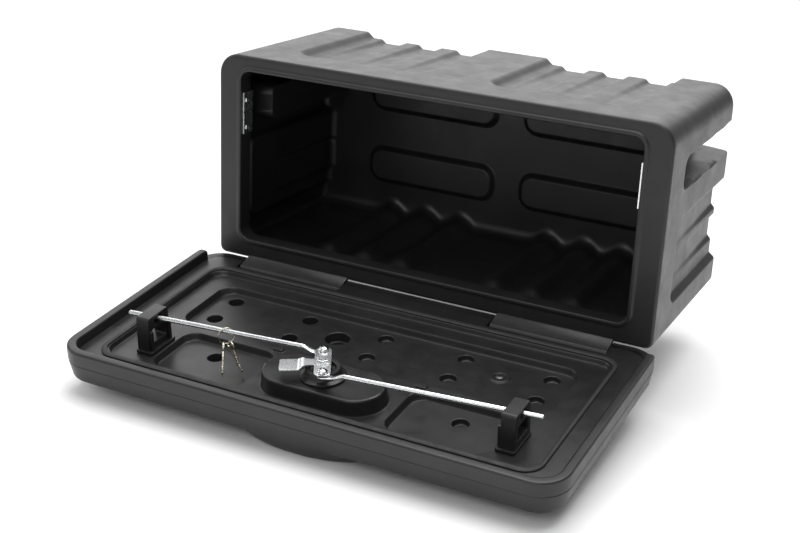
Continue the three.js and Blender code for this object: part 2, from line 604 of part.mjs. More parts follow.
function piece(parent, name, geometry, material) {
  const mesh = new THREE.Mesh(geometry, material());
  mesh.name = name;
  parent.add(mesh);
  return mesh;
}

const group = new THREE.Group();
group.position.set(0, -BODY.depth, -BODY.height / 2);

piece(group, 'body_shell', bodyShell(), shellPlastic);
const rightStrike = strikePlate();
piece(group, 'strike_plate_right', rightStrike, zinc);
piece(group, 'strike_plate_left', mirrored(rightStrike), zinc);
['lower', 'upper'].forEach((level, index) => {
  const screw = strikeScrew(STRIKE_SCREWS[index]);
  piece(group, `strike_screw_right_${level}`, screw, chrome);
  piece(group, `strike_screw_left_${level}`, mirrored(screw), chrome);
});
piece(group, 'hinge_pin_right', hingePin(), steel);
piece(group, 'hinge_pin_left', mirrored(hingePin()), steel);

// the lid turns about the hinge axis; inside it everything is drawn as closed
const lidTurn = new THREE.Group();
lidTurn.position.set(0, HINGE.y, HINGE.z);
lidTurn.rotation.x = rad(OPEN_ANGLE);
group.add(lidTurn);
const lid = new THREE.Group();
lid.position.set(0, -HINGE.y, -HINGE.z);
lidTurn.add(lid);

piece(lid, 'lid_outer_panel', lidOuterPanel(), shellPlastic);
piece(lid, 'lid_inner_panel', lidInnerPanel(), linerPlastic);
piece(lid, 'lid_seal', lidSeal(), rubber);
piece(lid, 'rod_guide_right', rodGuide(), guidePlastic);
piece(lid, 'rod_guide_left', mirrored(rodGuide()), guidePlastic);
piece(lid, 'lid_panel_screw', panelScrew(), zinc).position.set(PANEL_SCREW.x, 0, PANEL_SCREW.z);
piece(lid, 'spindle_bushing', spindleBushing(), guidePlastic).position.z = LATCH_Z;

const latch = new THREE.Group();
latch.position.z = LATCH_Z;
latch.rotation.y = -rad(UNLOCKED);
lid.add(latch);
piece(latch, 'latch_handle', handle(), shellPlastic);
piece(latch, 'lock_cylinder', lockCylinder(), chrome);
piece(latch, 'lock_plug', lockPlug(), nickel);
piece(latch, 'latch_spindle', spindle(), steel);
piece(latch, 'latch_plate', latchPlate(), zinc);
piece(latch, 'spindle_nut', spindleNut(), zinc);
piece(latch, 'pivot_screw_right', pivotScrew(), chrome).position.x = CRANK;
piece(latch, 'pivot_screw_left', pivotScrew(), chrome).position.x = -CRANK;

// each rod starts at its pivot and leans a little so that it runs through its guide
const rods = {};
[['right', 1, 0], ['left', -1, Math.PI]].forEach(([hand, sign, turn]) => {
  const rod = new THREE.Group();
  const along = CRANK * Math.cos(rad(UNLOCKED));
  const across = CRANK * Math.sin(rad(UNLOCKED));
  rod.position.set(sign * along, 0, LATCH_Z + sign * across);
  rod.rotation.y = turn + rad(ROD_TILT);
  lid.add(rod);
  piece(rod, `lock_rod_${hand}`, lockRod(), zinc);
  rods[hand] = rod;
});

// The ring hangs on the left rod; straight down is a little towards the lid's upper edge there.
const RING_ALONG = 126.6;
const RING_DROP = RING.radius - RING.wire - ROD.radius - 0.35;
const KEY_LEAN = 42;
const keys = new THREE.Group();
keys.position.set(RING_ALONG, lidY(ROD.height), 0);
keys.rotation.y = -(Math.PI + rad(ROD_TILT));
rods.left.add(keys);
const plumb = new THREE.Group();
plumb.rotation.x = -rad(OPEN_ANGLE);
keys.add(plumb);
// inside this group +Z is up with the lid open, and -Y is towards the lid's upper edge
const ring = piece(plumb, 'key_ring', keyRing().rotateX(Math.PI / 2), nickel);
ring.position.z = -RING_DROP;
ring.rotation.z = rad(50);
[['key_1', 60, -3.4], ['key_2', 19, 3.4]].forEach(([name, heading, shift]) => {
  const turn = new THREE.Group();
  const wire = new THREE.Vector3(Math.cos(rad(50)), Math.sin(rad(50)), 0).multiplyScalar(shift);
  turn.position.set(wire.x, wire.y, -RING_DROP - RING.radius + 0.6 - 1.6);
  turn.rotation.z = -rad(heading);
  plumb.add(turn);
  const key = piece(turn, name, flatKey(), nickel);
  key.rotation.y = -rad(KEY_LEAN);
});

export default group;
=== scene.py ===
"""Truck tool box: the looks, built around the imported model.

Shapes are worked out in millimetres. The body's own frame has y = 0 on its front face and
z = 0 under its bottom; the lid's pieces are drawn closed in that frame and then turned open.
"""

import json
import math

import bmesh
import bpy
import numpy as np
from mathutils import Matrix, Vector


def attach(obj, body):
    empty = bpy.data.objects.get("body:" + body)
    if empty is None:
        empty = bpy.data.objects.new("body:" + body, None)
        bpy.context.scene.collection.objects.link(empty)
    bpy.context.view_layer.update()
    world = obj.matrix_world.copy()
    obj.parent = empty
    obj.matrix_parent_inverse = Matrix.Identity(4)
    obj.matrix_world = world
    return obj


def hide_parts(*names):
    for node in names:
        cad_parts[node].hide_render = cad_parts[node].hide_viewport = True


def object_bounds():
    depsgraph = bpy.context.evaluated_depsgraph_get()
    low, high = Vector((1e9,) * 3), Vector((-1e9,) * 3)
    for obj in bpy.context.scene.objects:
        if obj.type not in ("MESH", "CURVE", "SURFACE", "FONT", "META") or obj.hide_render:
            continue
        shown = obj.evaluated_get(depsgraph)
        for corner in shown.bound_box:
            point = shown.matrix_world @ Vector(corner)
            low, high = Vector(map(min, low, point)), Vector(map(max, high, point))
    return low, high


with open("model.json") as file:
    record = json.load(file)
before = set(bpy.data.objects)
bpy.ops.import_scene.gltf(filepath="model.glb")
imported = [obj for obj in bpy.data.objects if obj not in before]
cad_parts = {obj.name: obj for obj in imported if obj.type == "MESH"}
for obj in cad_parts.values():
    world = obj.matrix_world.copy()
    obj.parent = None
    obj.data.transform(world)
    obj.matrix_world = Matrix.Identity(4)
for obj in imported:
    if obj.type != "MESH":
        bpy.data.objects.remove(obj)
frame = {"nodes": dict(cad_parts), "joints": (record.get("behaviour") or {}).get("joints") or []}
cad_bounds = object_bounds()

MM = 0.001

# ---------------------------------------------------------------- driving dimensions (mm)

WIDTH, HEIGHT, DEPTH = 620.0, 278.0, 273.0
WALL = 5.0
TOP_RADIUS, BOTTOM_RADIUS = 28.0, 10.0
TOP_FALL = math.tan(math.radians(1.37))
SIDE_FALL = math.tan(math.radians(0.54))
GROOVE_START = 58.0

OPENING = dict(half=275.0, low=27.0, high=258.0, radius=14.0)
FRAME_DEPTH = 22.0
LIP_HEIGHT = 2.5

HINGE_Y, HINGE_Z, HINGE_RADIUS = -14.7, -12.4, 11.5
HINGE_INNER, HINGE_OUTER = 107.5, 262.0

LID_HALF, LID_LOW, LID_HIGH, LID_RADIUS = 324.0, -27.4, 303.6, 37.0
RIM_Y = -4.0
LATCH_Z = 219.2
FACE_Y = RIM_Y - 32.6

RECESS_H = -14.6
CHANNEL_H = -6.0
HOUSING_H = 14.0
LINER_MIDDLE, LINER_RAYS = 150.0, 480

STRIKE_SCREW_Y, STRIKE_SCREWS = 9.0, {"lower": 179.5, "upper": 216.5}
STRIKE_GAP, STRIKE_THICKNESS = 0.3, 2.0


def joint(name):
    """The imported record's joint of that name."""
    return next(j for j in frame["joints"] if j["name"] == name)


hinge = Vector(joint("lid_hinge")["pos_m"])
lid_normal = Vector(joint("latch_turn")["axis"])
open_angle = math.atan2(lid_normal.z, lid_normal.y)

BODY = Matrix.Translation((0, -DEPTH * MM, -HEIGHT / 2 * MM)) @ Matrix.Scale(MM, 4)
LID = (Matrix.Translation(hinge) @ Matrix.Rotation(open_angle, 4, "X")
       @ Matrix.Scale(MM, 4) @ Matrix.Translation((0, -HINGE_Y, -HINGE_Z)))


def turned(axis_point, degrees, base):
    """A frame with its origin at a point of base, turned about base's y axis."""
    return base @ Matrix.Translation(axis_point) @ Matrix.Rotation(math.radians(degrees), 4, "Y")


# ---------------------------------------------------------------- mesh helpers

def ease(t):
    t = np.clip(t, 0.0, 1.0)
    return t * t * (3 - 2 * t)


def inside(distance, width):
    """1 well inside an outline and 0 well outside, easing over width."""
    return ease(0.5 - distance / width)


def rect_distance(u, v, u0, u1, v0, v1, radius):
    """Signed distance to a rounded rectangle, negative inside."""
    cu, cv = (u0 + u1) / 2, (v0 + v1) / 2
    qu = np.abs(u - cu) - (u1 - u0) / 2 + radius
    qv = np.abs(v - cv) - (v1 - v0) / 2 + radius
    return np.hypot(np.maximum(qu, 0), np.maximum(qv, 0)) + np.minimum(np.maximum(qu, qv), 0) - radius


def stations(low, high, edges, fine, coarse, reach):
    """Grid positions from low to high: fine near each edge and coarse elsewhere."""
    out = [low]
    while out[-1] < high:
        near = min((abs(out[-1] - e) for e in edges), default=coarse)
        out.append(out[-1] + (fine if near < reach else min(coarse, fine + (near - reach) * 0.7 + 0.4)))
    return np.array(out[:-1] + [high]) if high - out[-2] > fine * 0.3 else np.array(out[:-2] + [high])


class Skin:
    """The loops and faces of one piece."""

    def __init__(self):
        self.points, self.faces, self.fills = [], [], []

    def loop(self, xyz):
        start = len(self.points)
        self.points.extend(np.asarray(xyz, float).tolist())
        return list(range(start, len(self.points)))

    def bridge(self, a, b):
        n = len(a)
        self.faces.extend((a[i], a[(i + 1) % n], b[(i + 1) % n], b[i]) for i in range(n))

    def sweep(self, rings):
        """Joins successive loops of points, and gives the first and the last of them."""
        loops = [self.loop(r) for r in rings]
        for a, b in zip(loops, loops[1:]):
            self.bridge(a, b)
        return loops[0], loops[-1]

    def closed(self, rings):
        """A sweep whose last loop joins its first."""
        loops = [self.loop(r) for r in rings]
        for a, b in zip(loops, loops[1:] + loops[:1]):
            self.bridge(a, b)

    def solid(self, rings):
        """A sweep with both ends filled."""
        for end in self.sweep(rings):
            self.fill(end)

    def fill(self, *loops):
        """A flat face bounded by the first loop, with the other loops as holes."""
        self.fills.append(loops)

    def build(self, name, place, angle=40.0):
        mesh = bpy.data.meshes.new(name)
        bm = bmesh.new()
        verts = [bm.verts.new(p) for p in self.points]
        for face in self.faces:
            bm.faces.new([verts[i] for i in face])
        for loops in self.fills:
            edges = []
            for loop in loops:
                for i, j in zip(loop, loop[1:] + loop[:1]):
                    edge = bm.edges.get((verts[i], verts[j])) or bm.edges.new((verts[i], verts[j]))
                    edges.append(edge)
            if len(loops) == 1:
                bm.faces.new([verts[i] for i in loops[0]])
            else:
                bmesh.ops.triangle_fill(bm, use_beauty=True, use_dissolve=False, edges=edges)
        bmesh.ops.remove_doubles(bm, verts=bm.verts, dist=1e-4)
        bmesh.ops.recalc_face_normals(bm, faces=bm.faces)
        bmesh.ops.transform(bm, matrix=place, verts=bm.verts)
        bm.to_mesh(mesh)
        bm.free()
        piece = bpy.data.objects.new(name, mesh)
        bpy.context.scene.collection.objects.link(piece)
        smooth(piece, angle)
        return piece


def smooth(piece, angle=40.0):
    mesh = piece.data
    for polygon in mesh.polygons:
        polygon.use_smooth = True
    mesh.set_sharp_from_angle(angle=math.radians(angle))


def apply(piece, kind, **settings):
    """Adds a modifier and applies it to the mesh."""
    modifier = piece.modifiers.new(kind.lower(), kind)
    for key, value in settings.items():
        setattr(modifier, key, value)
    bpy.context.view_layer.update()
    evaluated = piece.evaluated_get(bpy.context.evaluated_depsgraph_get())
    mesh = bpy.data.meshes.new_from_object(evaluated)
    piece.modifiers.clear()
    old = piece.data
    piece.data = mesh
    bpy.data.meshes.remove(old)


def cut_away(piece, cutters, angle=40.0):
    for cutter in cutters:
        apply(piece, "BOOLEAN", operation="DIFFERENCE", solver="EXACT", object=cutter)
        bpy.data.objects.remove(cutter)
    smooth(piece, angle)


def merge(name, pieces):
    """One piece from several meshes."""
    bm = bmesh.new()
    for piece in pieces:
        bm.from_mesh(piece.data)
        bpy.data.objects.remove(piece)
    mesh = bpy.data.meshes.new(name)
    bm.to_mesh(mesh)
    bm.free()
    whole = bpy.data.objects.new(name, mesh)
    bpy.context.scene.collection.objects.link(whole)
    return whole


def arc(cx, cz, radius, start, end, count):
    a = np.radians(np.linspace(start, end, count))
    return np.column_stack([cx + radius * np.cos(a), cz + radius * np.sin(a)])


def rounded_rect(x0, x1, z0, z1, radius, count=8):
    r = radius
    return np.vstack([
        arc(x1 - r, z0 + r, r, -90, 0, count), arc(x1 - r, z1 - r, r, 0, 90, count),
        arc(x0 + r, z1 - r, r, 90, 180, count), arc(x0 + r, z0 + r, r, 180, 270, count)])


def circle(cx, cz, radius, count=32):
    return arc(cx, cz, radius, 0, 360, count + 1)[:-1]


def inset(outline, amount):
    """The outline moved inwards by amount, counter-clockwise outlines only."""
    ahead = np.roll(outline, -1, axis=0) - outline
    length = np.hypot(ahead[:, 0], ahead[:, 1])[:, None]
    ahead = ahead / np.maximum(length, 1e-9)
    mean = ahead + np.roll(ahead, 1, axis=0)
    mean /= np.maximum(np.hypot(mean[:, 0], mean[:, 1])[:, None], 1e-9)
    inward = np.column_stack([-mean[:, 1], mean[:, 0]])
    turn = np.clip(np.sum(mean * ahead, axis=1), 0.4, 1)[:, None]
    return outline + inward * amount / turn


def flat(outline, y):
    """A loop of (x, z) at one y, or at a y for each point."""
    return np.column_stack([outline[:, 0], np.broadcast_to(y, len(outline)), outline[:, 1]])


def prism(name, outline, y0, y1, place, bevel=0.6, holes=(), angle=35.0):
    """A plate of this outline between y0 and y1 with rounded rims; holes are outlines too."""
    skin = Skin()
    steps = [(bevel, 0.0), (bevel * 0.3, bevel * 0.3), (0.0, bevel)]

    def wall(shape, sign):
        rings = [flat(inset(shape, sign * i), y0 + d) for i, d in steps]
        rings += [flat(inset(shape, sign * i), y1 - d) for i, d in reversed(steps)]
        return skin.sweep(rings)

    ends = [wall(outline, 1)] + [wall(h, -1) for h in holes]
    skin.fill(*[e[0] for e in ends])
    skin.fill(*[e[1] for e in ends])
    return skin.build(name, place, angle)


def lathe(name, profile, place, count=40, angle=35.0):
    """A turned piece about y; the profile is (radius, y) from axis to axis."""
    skin = Skin()
    unit = circle(0, 0, 1, count)
    rings = [flat(unit * max(r, 0.01), y) for r, y in profile]
    skin.solid(rings)
    return skin.build(name, place, angle)


def cutter_box(x0, x1, y0, y1, z0, z1, place):
    skin = Skin()
    square = np.array([(x0, z0), (x1, z0), (x1, z1), (x0, z1)], float)
    skin.solid([flat(square, y0), flat(square, y1)])
    return skin.build("cutter", place)


# ---------------------------------------------------------------- body: pressed relief

GROUP_EDGES = (-235.0, 42.5)
GROUP_WIDTH = 194.0
ROOF_CHANNELS = ((28.0, 61.0), (87.0, 116.5), (146.5, 176.0))
SIDE_GROUP = (40.0, 146.0)
SIDE_CHANNELS = ((64.5, 95.5), (108.5, 141.5))
SLOT = dict(low=186.0, high=224.0, start=60.0, depth=42.0)
BOTTOM_GROOVES = (-180.0, -124.0, -68.0, 68.0, 124.0, 180.0)
FAR = 400.0


def deepening(y):
    return 5.5 * np.clip((y - GROOVE_START - 2) / (DEPTH - GROOVE_START), 0, 1.05)


def roof_relief(x, y, grow):
    depth = np.zeros(np.broadcast(x, y).shape)
    for edge in GROUP_EDGES:
        u = x - edge
        group = rect_distance(u, y, 6 - grow, GROUP_WIDTH - 6 + grow, GROOVE_START + 5 - grow, FAR, 22)
        depth = depth + 8.0 * inside(group, 13)
        for start, end in ROOF_CHANNELS:
            channel = rect_distance(u, y, start - grow, end + grow, GROOVE_START + 4 - grow, FAR, 10)
            depth = depth + deepening(y) * inside(channel, 9)
    return depth


def side_relief(z, y, grow):
    pocket = rect_distance(z, y, SIDE_GROUP[0] - grow, SIDE_GROUP[1] + grow, GROOVE_START + 4 - grow, FAR, 16)
    depth = 8.0 * inside(pocket, 9)
    for start, end in SIDE_CHANNELS:
        channel = rect_distance(z, y, start - grow, end + grow, GROOVE_START + 4 - grow, FAR, 12)
        depth = depth + deepening(y) * inside(channel, 8)
    slot = rect_distance(z, y, SLOT["low"] - grow, SLOT["high"] + grow, SLOT["start"] - grow, FAR, 12)
    return np.maximum(depth, SLOT["depth"] * inside(slot, 3.4))


def bottom_relief(x, y, grow):
    depth = np.zeros(np.broadcast(x, y).shape)
    for centre in BOTTOM_GROOVES:
        groove = rect_distance(x, y, centre - 9 - grow, centre + 9 + grow, GROOVE_START + 12 - grow, FAR, 14)
        depth = depth + 12.0 * inside(groove, 14 + 2.4 * grow)
    return depth


def feature_edges():
    roof = [e + s for e in GROUP_EDGES for pair in ((6, GROUP_WIDTH - 6), *ROOF_CHANNELS) for s in pair]
    side = [*SIDE_GROUP, *[s for pair in SIDE_CHANNELS for s in pair], SLOT["low"], SLOT["high"]]
    bottom = [c + s for c in BOTTOM_GROOVES for s in (-9, 9)]
    return roof, side, bottom


CORNER_STEPS = 9


class Section:
    """The body's cross-section: straights whose grid lines follow the relief, and round corners."""

    def __init__(self):
        roof, side, bottom = feature_edges()
        half = WIDTH / 2
        span = half - TOP_RADIUS
        self.top = (stations(-span, span, roof, 1.8, 9, 9) + span) / (2 * span)
        low, high = BOTTOM_RADIUS, HEIGHT - TOP_RADIUS
        self.side = (stations(low, high, side, 1.3, 8, 6) - low) / (high - low)
        span = half - BOTTOM_RADIUS
        self.bottom = (stations(-span, span, bottom, 2.0, 9, 9) + span) / (2 * span)

    def ring(self, half, low, high, top_radius, bottom_radius):
        """Points, outward normals and the face each belongs to: bottom, side, top or corner."""
        rt, rb = top_radius, bottom_radius
        parts = []

        def straight(x, z, n, face):
            x, z = np.broadcast_arrays(np.asarray(x, float), np.asarray(z, float))
            parts.append((x, z, np.full(len(x), n[0]), np.full(len(x), n[1]), np.full(len(x), face)))

        def corner(cx, cz, r, start):
            a = np.radians(start + np.linspace(0, 90, CORNER_STEPS + 2)[1:-1])
            parts.append((cx + r * np.cos(a), cz + r * np.sin(a), np.cos(a), np.sin(a), np.zeros(len(a))))

        up = low + rb + (high - rt - low - rb) * self.side
        straight(-half + rb + 2 * (half - rb) * self.bottom, np.full(len(self.bottom), low), (0, -1), 3)
        corner(half - rb, low + rb, rb, -90)
        straight(np.full(len(up), half), up, (1, 0), 2)
        corner(half - rt, high - rt, rt, 0)
        straight((-half + rt + 2 * (half - rt) * self.top)[::-1], np.full(len(self.top), high), (0, 1), 1)
        corner(-half + rt, high - rt, rt, 90)
        straight(np.full(len(up), -half), up[::-1], (-1, 0), 2)
        corner(-half + rb, low + rb, rb, 180)
        x, z, nx, nz, face = (np.concatenate(c) for c in zip(*parts))
        return x, z, nx, nz, face.astype(int)


def drafted(section, y, offset):
    """The section at depth y, offset inwards."""
    half = WIDTH / 2 - y * SIDE_FALL - offset
    high = HEIGHT - y * TOP_FALL - offset
    return section.ring(half, offset, high, max(TOP_RADIUS - offset, 4), max(BOTTOM_RADIUS - offset, 7))


def walls(section, offset, grow, front, rear, radii):
    """Loops from front to rear along the body, with relief and a rounded rear edge."""
    edges = [GROOVE_START, GROOVE_START + 10, GROOVE_START + 20]
    depths = stations(front, rear - max(radii.values()), edges, 1.6, 9, 8)
    loops = []

    def displaced(y, cut):
        x, z, nx, nz, face = drafted(section, float(np.min(y)), offset)
        relief = np.zeros(len(x))
        relief = np.where(face == 1, roof_relief(x, y, grow), relief)
        relief = np.where(face == 2, side_relief(z, y, grow), relief)
        relief = np.where(face == 3, bottom_relief(x, y, grow), relief)
        inward = relief + cut
        loops.append(np.column_stack([x - nx * inward, np.broadcast_to(y, len(x)), z - nz * inward]))

    for y in depths:
        displaced(float(y), 0.0)
    _, _, nx, nz, _ = drafted(section, rear, offset)
    radius = (radii["top"] * np.clip(nz, 0, 1) ** 2 + radii["bottom"] * np.clip(-nz, 0, 1) ** 2
              + radii["side"] * nx ** 2)
    for angle in np.radians(np.linspace(0, 90, 9)):
        displaced(rear - radius * (1 - math.sin(angle)), radius * (1 - math.cos(angle)))
    return loops


BACK_PANELS = [(s * 20.0, s * 220.0, low, high) for s in (1, -1) for low, high in ((53, 106), (162, 216))]


def back_panels(skin, y, grow):
    """Pressed panels that bulge into the box; gives the loops where they meet the flat rear wall."""
    rims = []
    for xa, xb, low, high in BACK_PANELS:
        x0, x1 = sorted((xa, xb))
        outline = rounded_rect(x0 - grow, x1 + grow, low - grow, high + grow, 24, 10)
        shares = np.linspace(0, 1, 9)
        rings = [flat(inset(outline, 10 * t), y - 8 * float(ease(t))) for t in shares]
        rim, floor = skin.sweep(rings)
        skin.fill(floor)
        rims.append(rim)
    return rims


def make_body():
    section = Section()
    skin = Skin()

    def ring(y, grow):
        r = OPENING["radius"] + grow
        x, z, *_ = section.ring(OPENING["half"] + grow, OPENING["low"] - grow, OPENING["high"] + grow, r, r)
        return np.column_stack([x, np.full(len(x), y), z])

    outer = walls(section, 0.0, 0.0, 4.0, DEPTH, dict(top=5.0, side=9.0, bottom=18.0))
    inner = walls(section, WALL, WALL, WALL, DEPTH - WALL, dict(top=8.0, side=10.0, bottom=16.0))
    edge = []
    for angle in np.radians([90, 65, 40, 18]):
        x, z, nx, nz, _ = drafted(section, 0, 0)
        cut = 4 * (1 - math.cos(angle))
        edge.append(np.column_stack([x - nx * cut, np.full(len(x), 4 * (1 - math.sin(angle))), z - nz * cut]))
    front = [
        ring(FRAME_DEPTH - 16, 4), ring(FRAME_DEPTH, 4), ring(FRAME_DEPTH, 2), ring(FRAME_DEPTH - 0.5, 0.6),
        ring(FRAME_DEPTH - 2, 0), ring(2, 0), ring(-1.2, 0.2), ring(-2.1, 0.7), ring(-LIP_HEIGHT, 1.8),
        ring(-LIP_HEIGHT, 4.2), ring(-2.1, 5.3), ring(-1.2, 5.9), ring(-0.5, 6.3), ring(0, 7.4), ring(0, 10),
    ]
    first_outer, last_outer = skin.sweep(list(reversed(inner)) + front + edge + outer)
    skin.fill(last_outer, *back_panels(skin, DEPTH, 0))
    skin.fill(first_outer, *back_panels(skin, DEPTH - WALL, 3))
    return skin.build("body_shell_moulding", BODY, 40)


def make_knuckle(sign):
    """A hinge barrel with the web that carries it, as one extruded profile with round ends."""
    barrel = arc(HINGE_Y, HINGE_Z, HINGE_RADIUS, 128, 322, 26)
    web = np.array([(2.0, 1.5), (2.0, 8.0), (0.6, 8.0), (0.4, 3.5)], float)
    outline = np.vstack([barrel, web])[::-1]
    skin = Skin()
    x0, x1 = sorted((sign * HINGE_INNER, sign * HINGE_OUTER))
    rings = []
    for x, cut in ((x0, 1.2), (x0 + 0.4, 0.4), (x0 + 1.2, 0), (x1 - 1.2, 0), (x1 - 0.4, 0.4), (x1, 1.2)):
        shape = inset(outline[::-1], cut)
        rings.append(np.column_stack([np.full(len(shape), x), shape[:, 0], shape[:, 1]]))
    skin.solid(rings)
    return skin.build("knuckle", BODY, 35)


# ---------------------------------------------------------------- lid mouldings

RAYS = 720
PAD = dict(half_length=102.0, half_width=62.0, rise=15.2, slope=26.0, top_slope=13.0, offset=10.0)
WELL = dict(half_length=72.4, half_width=30.4, floor=7.0)


def ray_loop(half, low, high, radius, centre=LATCH_Z, count=RAYS):
    """A rounded rectangle met by rays from a centre on x = 0, so that all such loops match."""
    a = np.linspace(0, 2 * math.pi, count, endpoint=False)
    near, far = np.zeros(count), np.full(count, 900.0)
    for _ in range(26):
        mid = (near + far) / 2
        out = rect_distance(mid * np.cos(a), centre + mid * np.sin(a), -half, half, low, high, radius) > 0
        near, far = np.where(out, near, mid), np.where(out, mid, far)
    return np.column_stack([near * np.cos(a), centre + near * np.sin(a)])


def lid_loop(amount):
    return ray_loop(LID_HALF - amount, LID_LOW + amount, LID_HIGH - amount, LID_RADIUS - min(amount, 25))


def pad_height(x, z):
    """Height of the raised oval round the handle over the lid's flat face."""
    dz = z - (LATCH_Z + PAD["offset"])
    reach = np.hypot(x / PAD["half_length"], dz / PAD["half_width"])
    a = np.arctan2(dz / PAD["half_width"], x / PAD["half_length"])
    edge = np.hypot(PAD["half_length"] * np.cos(a), PAD["half_width"] * np.sin(a))
    upward = np.clip(np.sin(a), 0, 1) ** 2
    slope = PAD["slope"] * (1 - upward) + PAD["top_slope"] * upward
    return PAD["rise"] * ease(1 - (reach - 1) * edge / slope)


def hinge_cutters():
    reach = HINGE_RADIUS + 1
    out = []
    for sign in (1, -1):
        x0, x1 = sorted((sign * (HINGE_INNER - 1), sign * (HINGE_OUTER + 1)))
        out.append(cutter_box(x0, x1, HINGE_Y - reach - 0.2, RIM_Y + 20,
                              LID_LOW - 5, HINGE_Z + reach + 1, LID))
    return out


def make_lid_outer():
    skin = Skin()
    lip = [(12.0, RIM_Y - 9), (12.0, 5.4), (11.5, 7.0), (10.4, 8.0), (9.0, 8.2), (3.0, 8.2), (1.5, 7.8),
           (0.4, 6.8), (0.0, 5.2)]
    skirt = [(0.0, -8.4), (0.1, -8.9), (0.9, -9.3), (0.9, -10.3), (0.4, -10.8), (0.5, -12.0)]
    skirt += [(0.5 + 2.9 * t, -12.0 - 15.0 * t) for t in (0.25, 0.5, 0.75, 1.0)]
    skirt += [(3.4 + 12 * (1 - math.cos(a)), -27.0 - 9.6 * math.sin(a))
              for a in np.radians([15, 30, 45, 60, 75, 90])]
    rings = [flat(lid_loop(i), y) for i, y in lip + skirt]
    face = lid_loop(15.4)
    well = ray_loop(WELL["half_length"], LATCH_Z - WELL["half_width"], LATCH_Z + WELL["half_width"],
                    WELL["half_width"] - 0.01)
    shares = np.linspace(0, 1, 64)[1:] ** 0.8
    for t in shares:
        rings.append(flat(face + (well - face) * t, FACE_Y))
    shaped = []
    for ring in rings:
        drop = pad_height(ring[:, 0], ring[:, 2]) * ease((-8.0 - ring[:, 1]) / 24)
        shaped.append(np.column_stack([ring[:, 0], ring[:, 1] - drop, ring[:, 2]]))
    rim = shaped[-1]
    centre = np.array([0, 0, LATCH_Z])
    for cut, down in ((0.7, 0.2), (1.8, 1.0), (2.4, 2.4)):
        inner = centre + (rim - centre) * (1 - cut / 45)
        shaped.append(np.column_stack([inner[:, 0], rim[:, 1] + down, inner[:, 2]]))
    last = shaped[-1]
    floor_y = RIM_Y + WELL["floor"]
    for cut, y in ((0.0, floor_y - 5), (0.4, floor_y - 2), (2.0, floor_y - 0.4), (5.0, floor_y)):
        inner = centre + (last - centre) * (1 - cut / 45)
        shaped.append(np.column_stack([inner[:, 0], np.full(len(inner), y), inner[:, 2]]))
    hollow = [flat(lid_loop(12.0), RIM_Y - 9), flat(lid_loop(7.0), RIM_Y - 9.2),
              flat(lid_loop(8.0), FACE_Y + 5)]
    inside_well = centre + (last - centre) * 1.05
    hollow.append(flat(inside_well[:, [0, 2]], FACE_Y + 5))
    hollow.append(flat(inside_well[:, [0, 2]], floor_y + 2.6))
    skin.solid(list(reversed(hollow))[:-1] + shaped)
    piece = skin.build("lid_outer_moulding", LID, 45)
    cutters = hinge_cutters()
    cutters.append(cutter_box(-400, 400, RIM_Y, 40, -60, 0.1, LID))
    cut_away(piece, cutters, 45)
    return piece


DIMPLES = [(x, z) for x in (-221.0, -109.4, 0.0, 109.4, 221.0) for z in (66.2, 116.4)]
DIMPLES += [(-164.4, 198.6), (164.4, 198.6)]
BIG_DIMPLE = (-55.0, 91.6)
PANEL_SCREW = (163.0, 87.6)


def round_over(start, end, inset_total, count):
    """Rings (inset, height) of a wall with a rounded top edge and a rounded foot."""
    t = np.linspace(0, 1, count)
    return [(inset_total * u, start + (end - start) * float(ease(u))) for u in t]


def notch_liner(piece):
    """Opens the liner's rim round the hinge barrels."""
    x0, x1, z1 = HINGE_INNER - 1, HINGE_OUTER + 1, HINGE_Z + HINGE_RADIUS + 3.8
    bm = bmesh.new()
    bm.from_mesh(piece.data)
    bmesh.ops.transform(bm, matrix=LID.inverted(), verts=bm.verts)
    planes = [((s * x, 0, 0), (1, 0, 0)) for s in (1, -1) for x in (x0, x1)] + [((0, 0, z1), (0, 0, 1))]
    for point, normal in planes:
        everything = bm.verts[:] + bm.edges[:] + bm.faces[:]
        bmesh.ops.bisect_plane(bm, geom=everything, plane_co=point, plane_no=normal, dist=1e-4)
    middles = [(face, face.calc_center_median()) for face in bm.faces]
    doomed = [face for face, c in middles if x0 < abs(c.x) < x1 and c.z < z1]
    bmesh.ops.delete(bm, geom=doomed, context="FACES")
    bmesh.ops.transform(bm, matrix=LID, verts=bm.verts)
    bm.to_mesh(piece.data)
    bm.free()


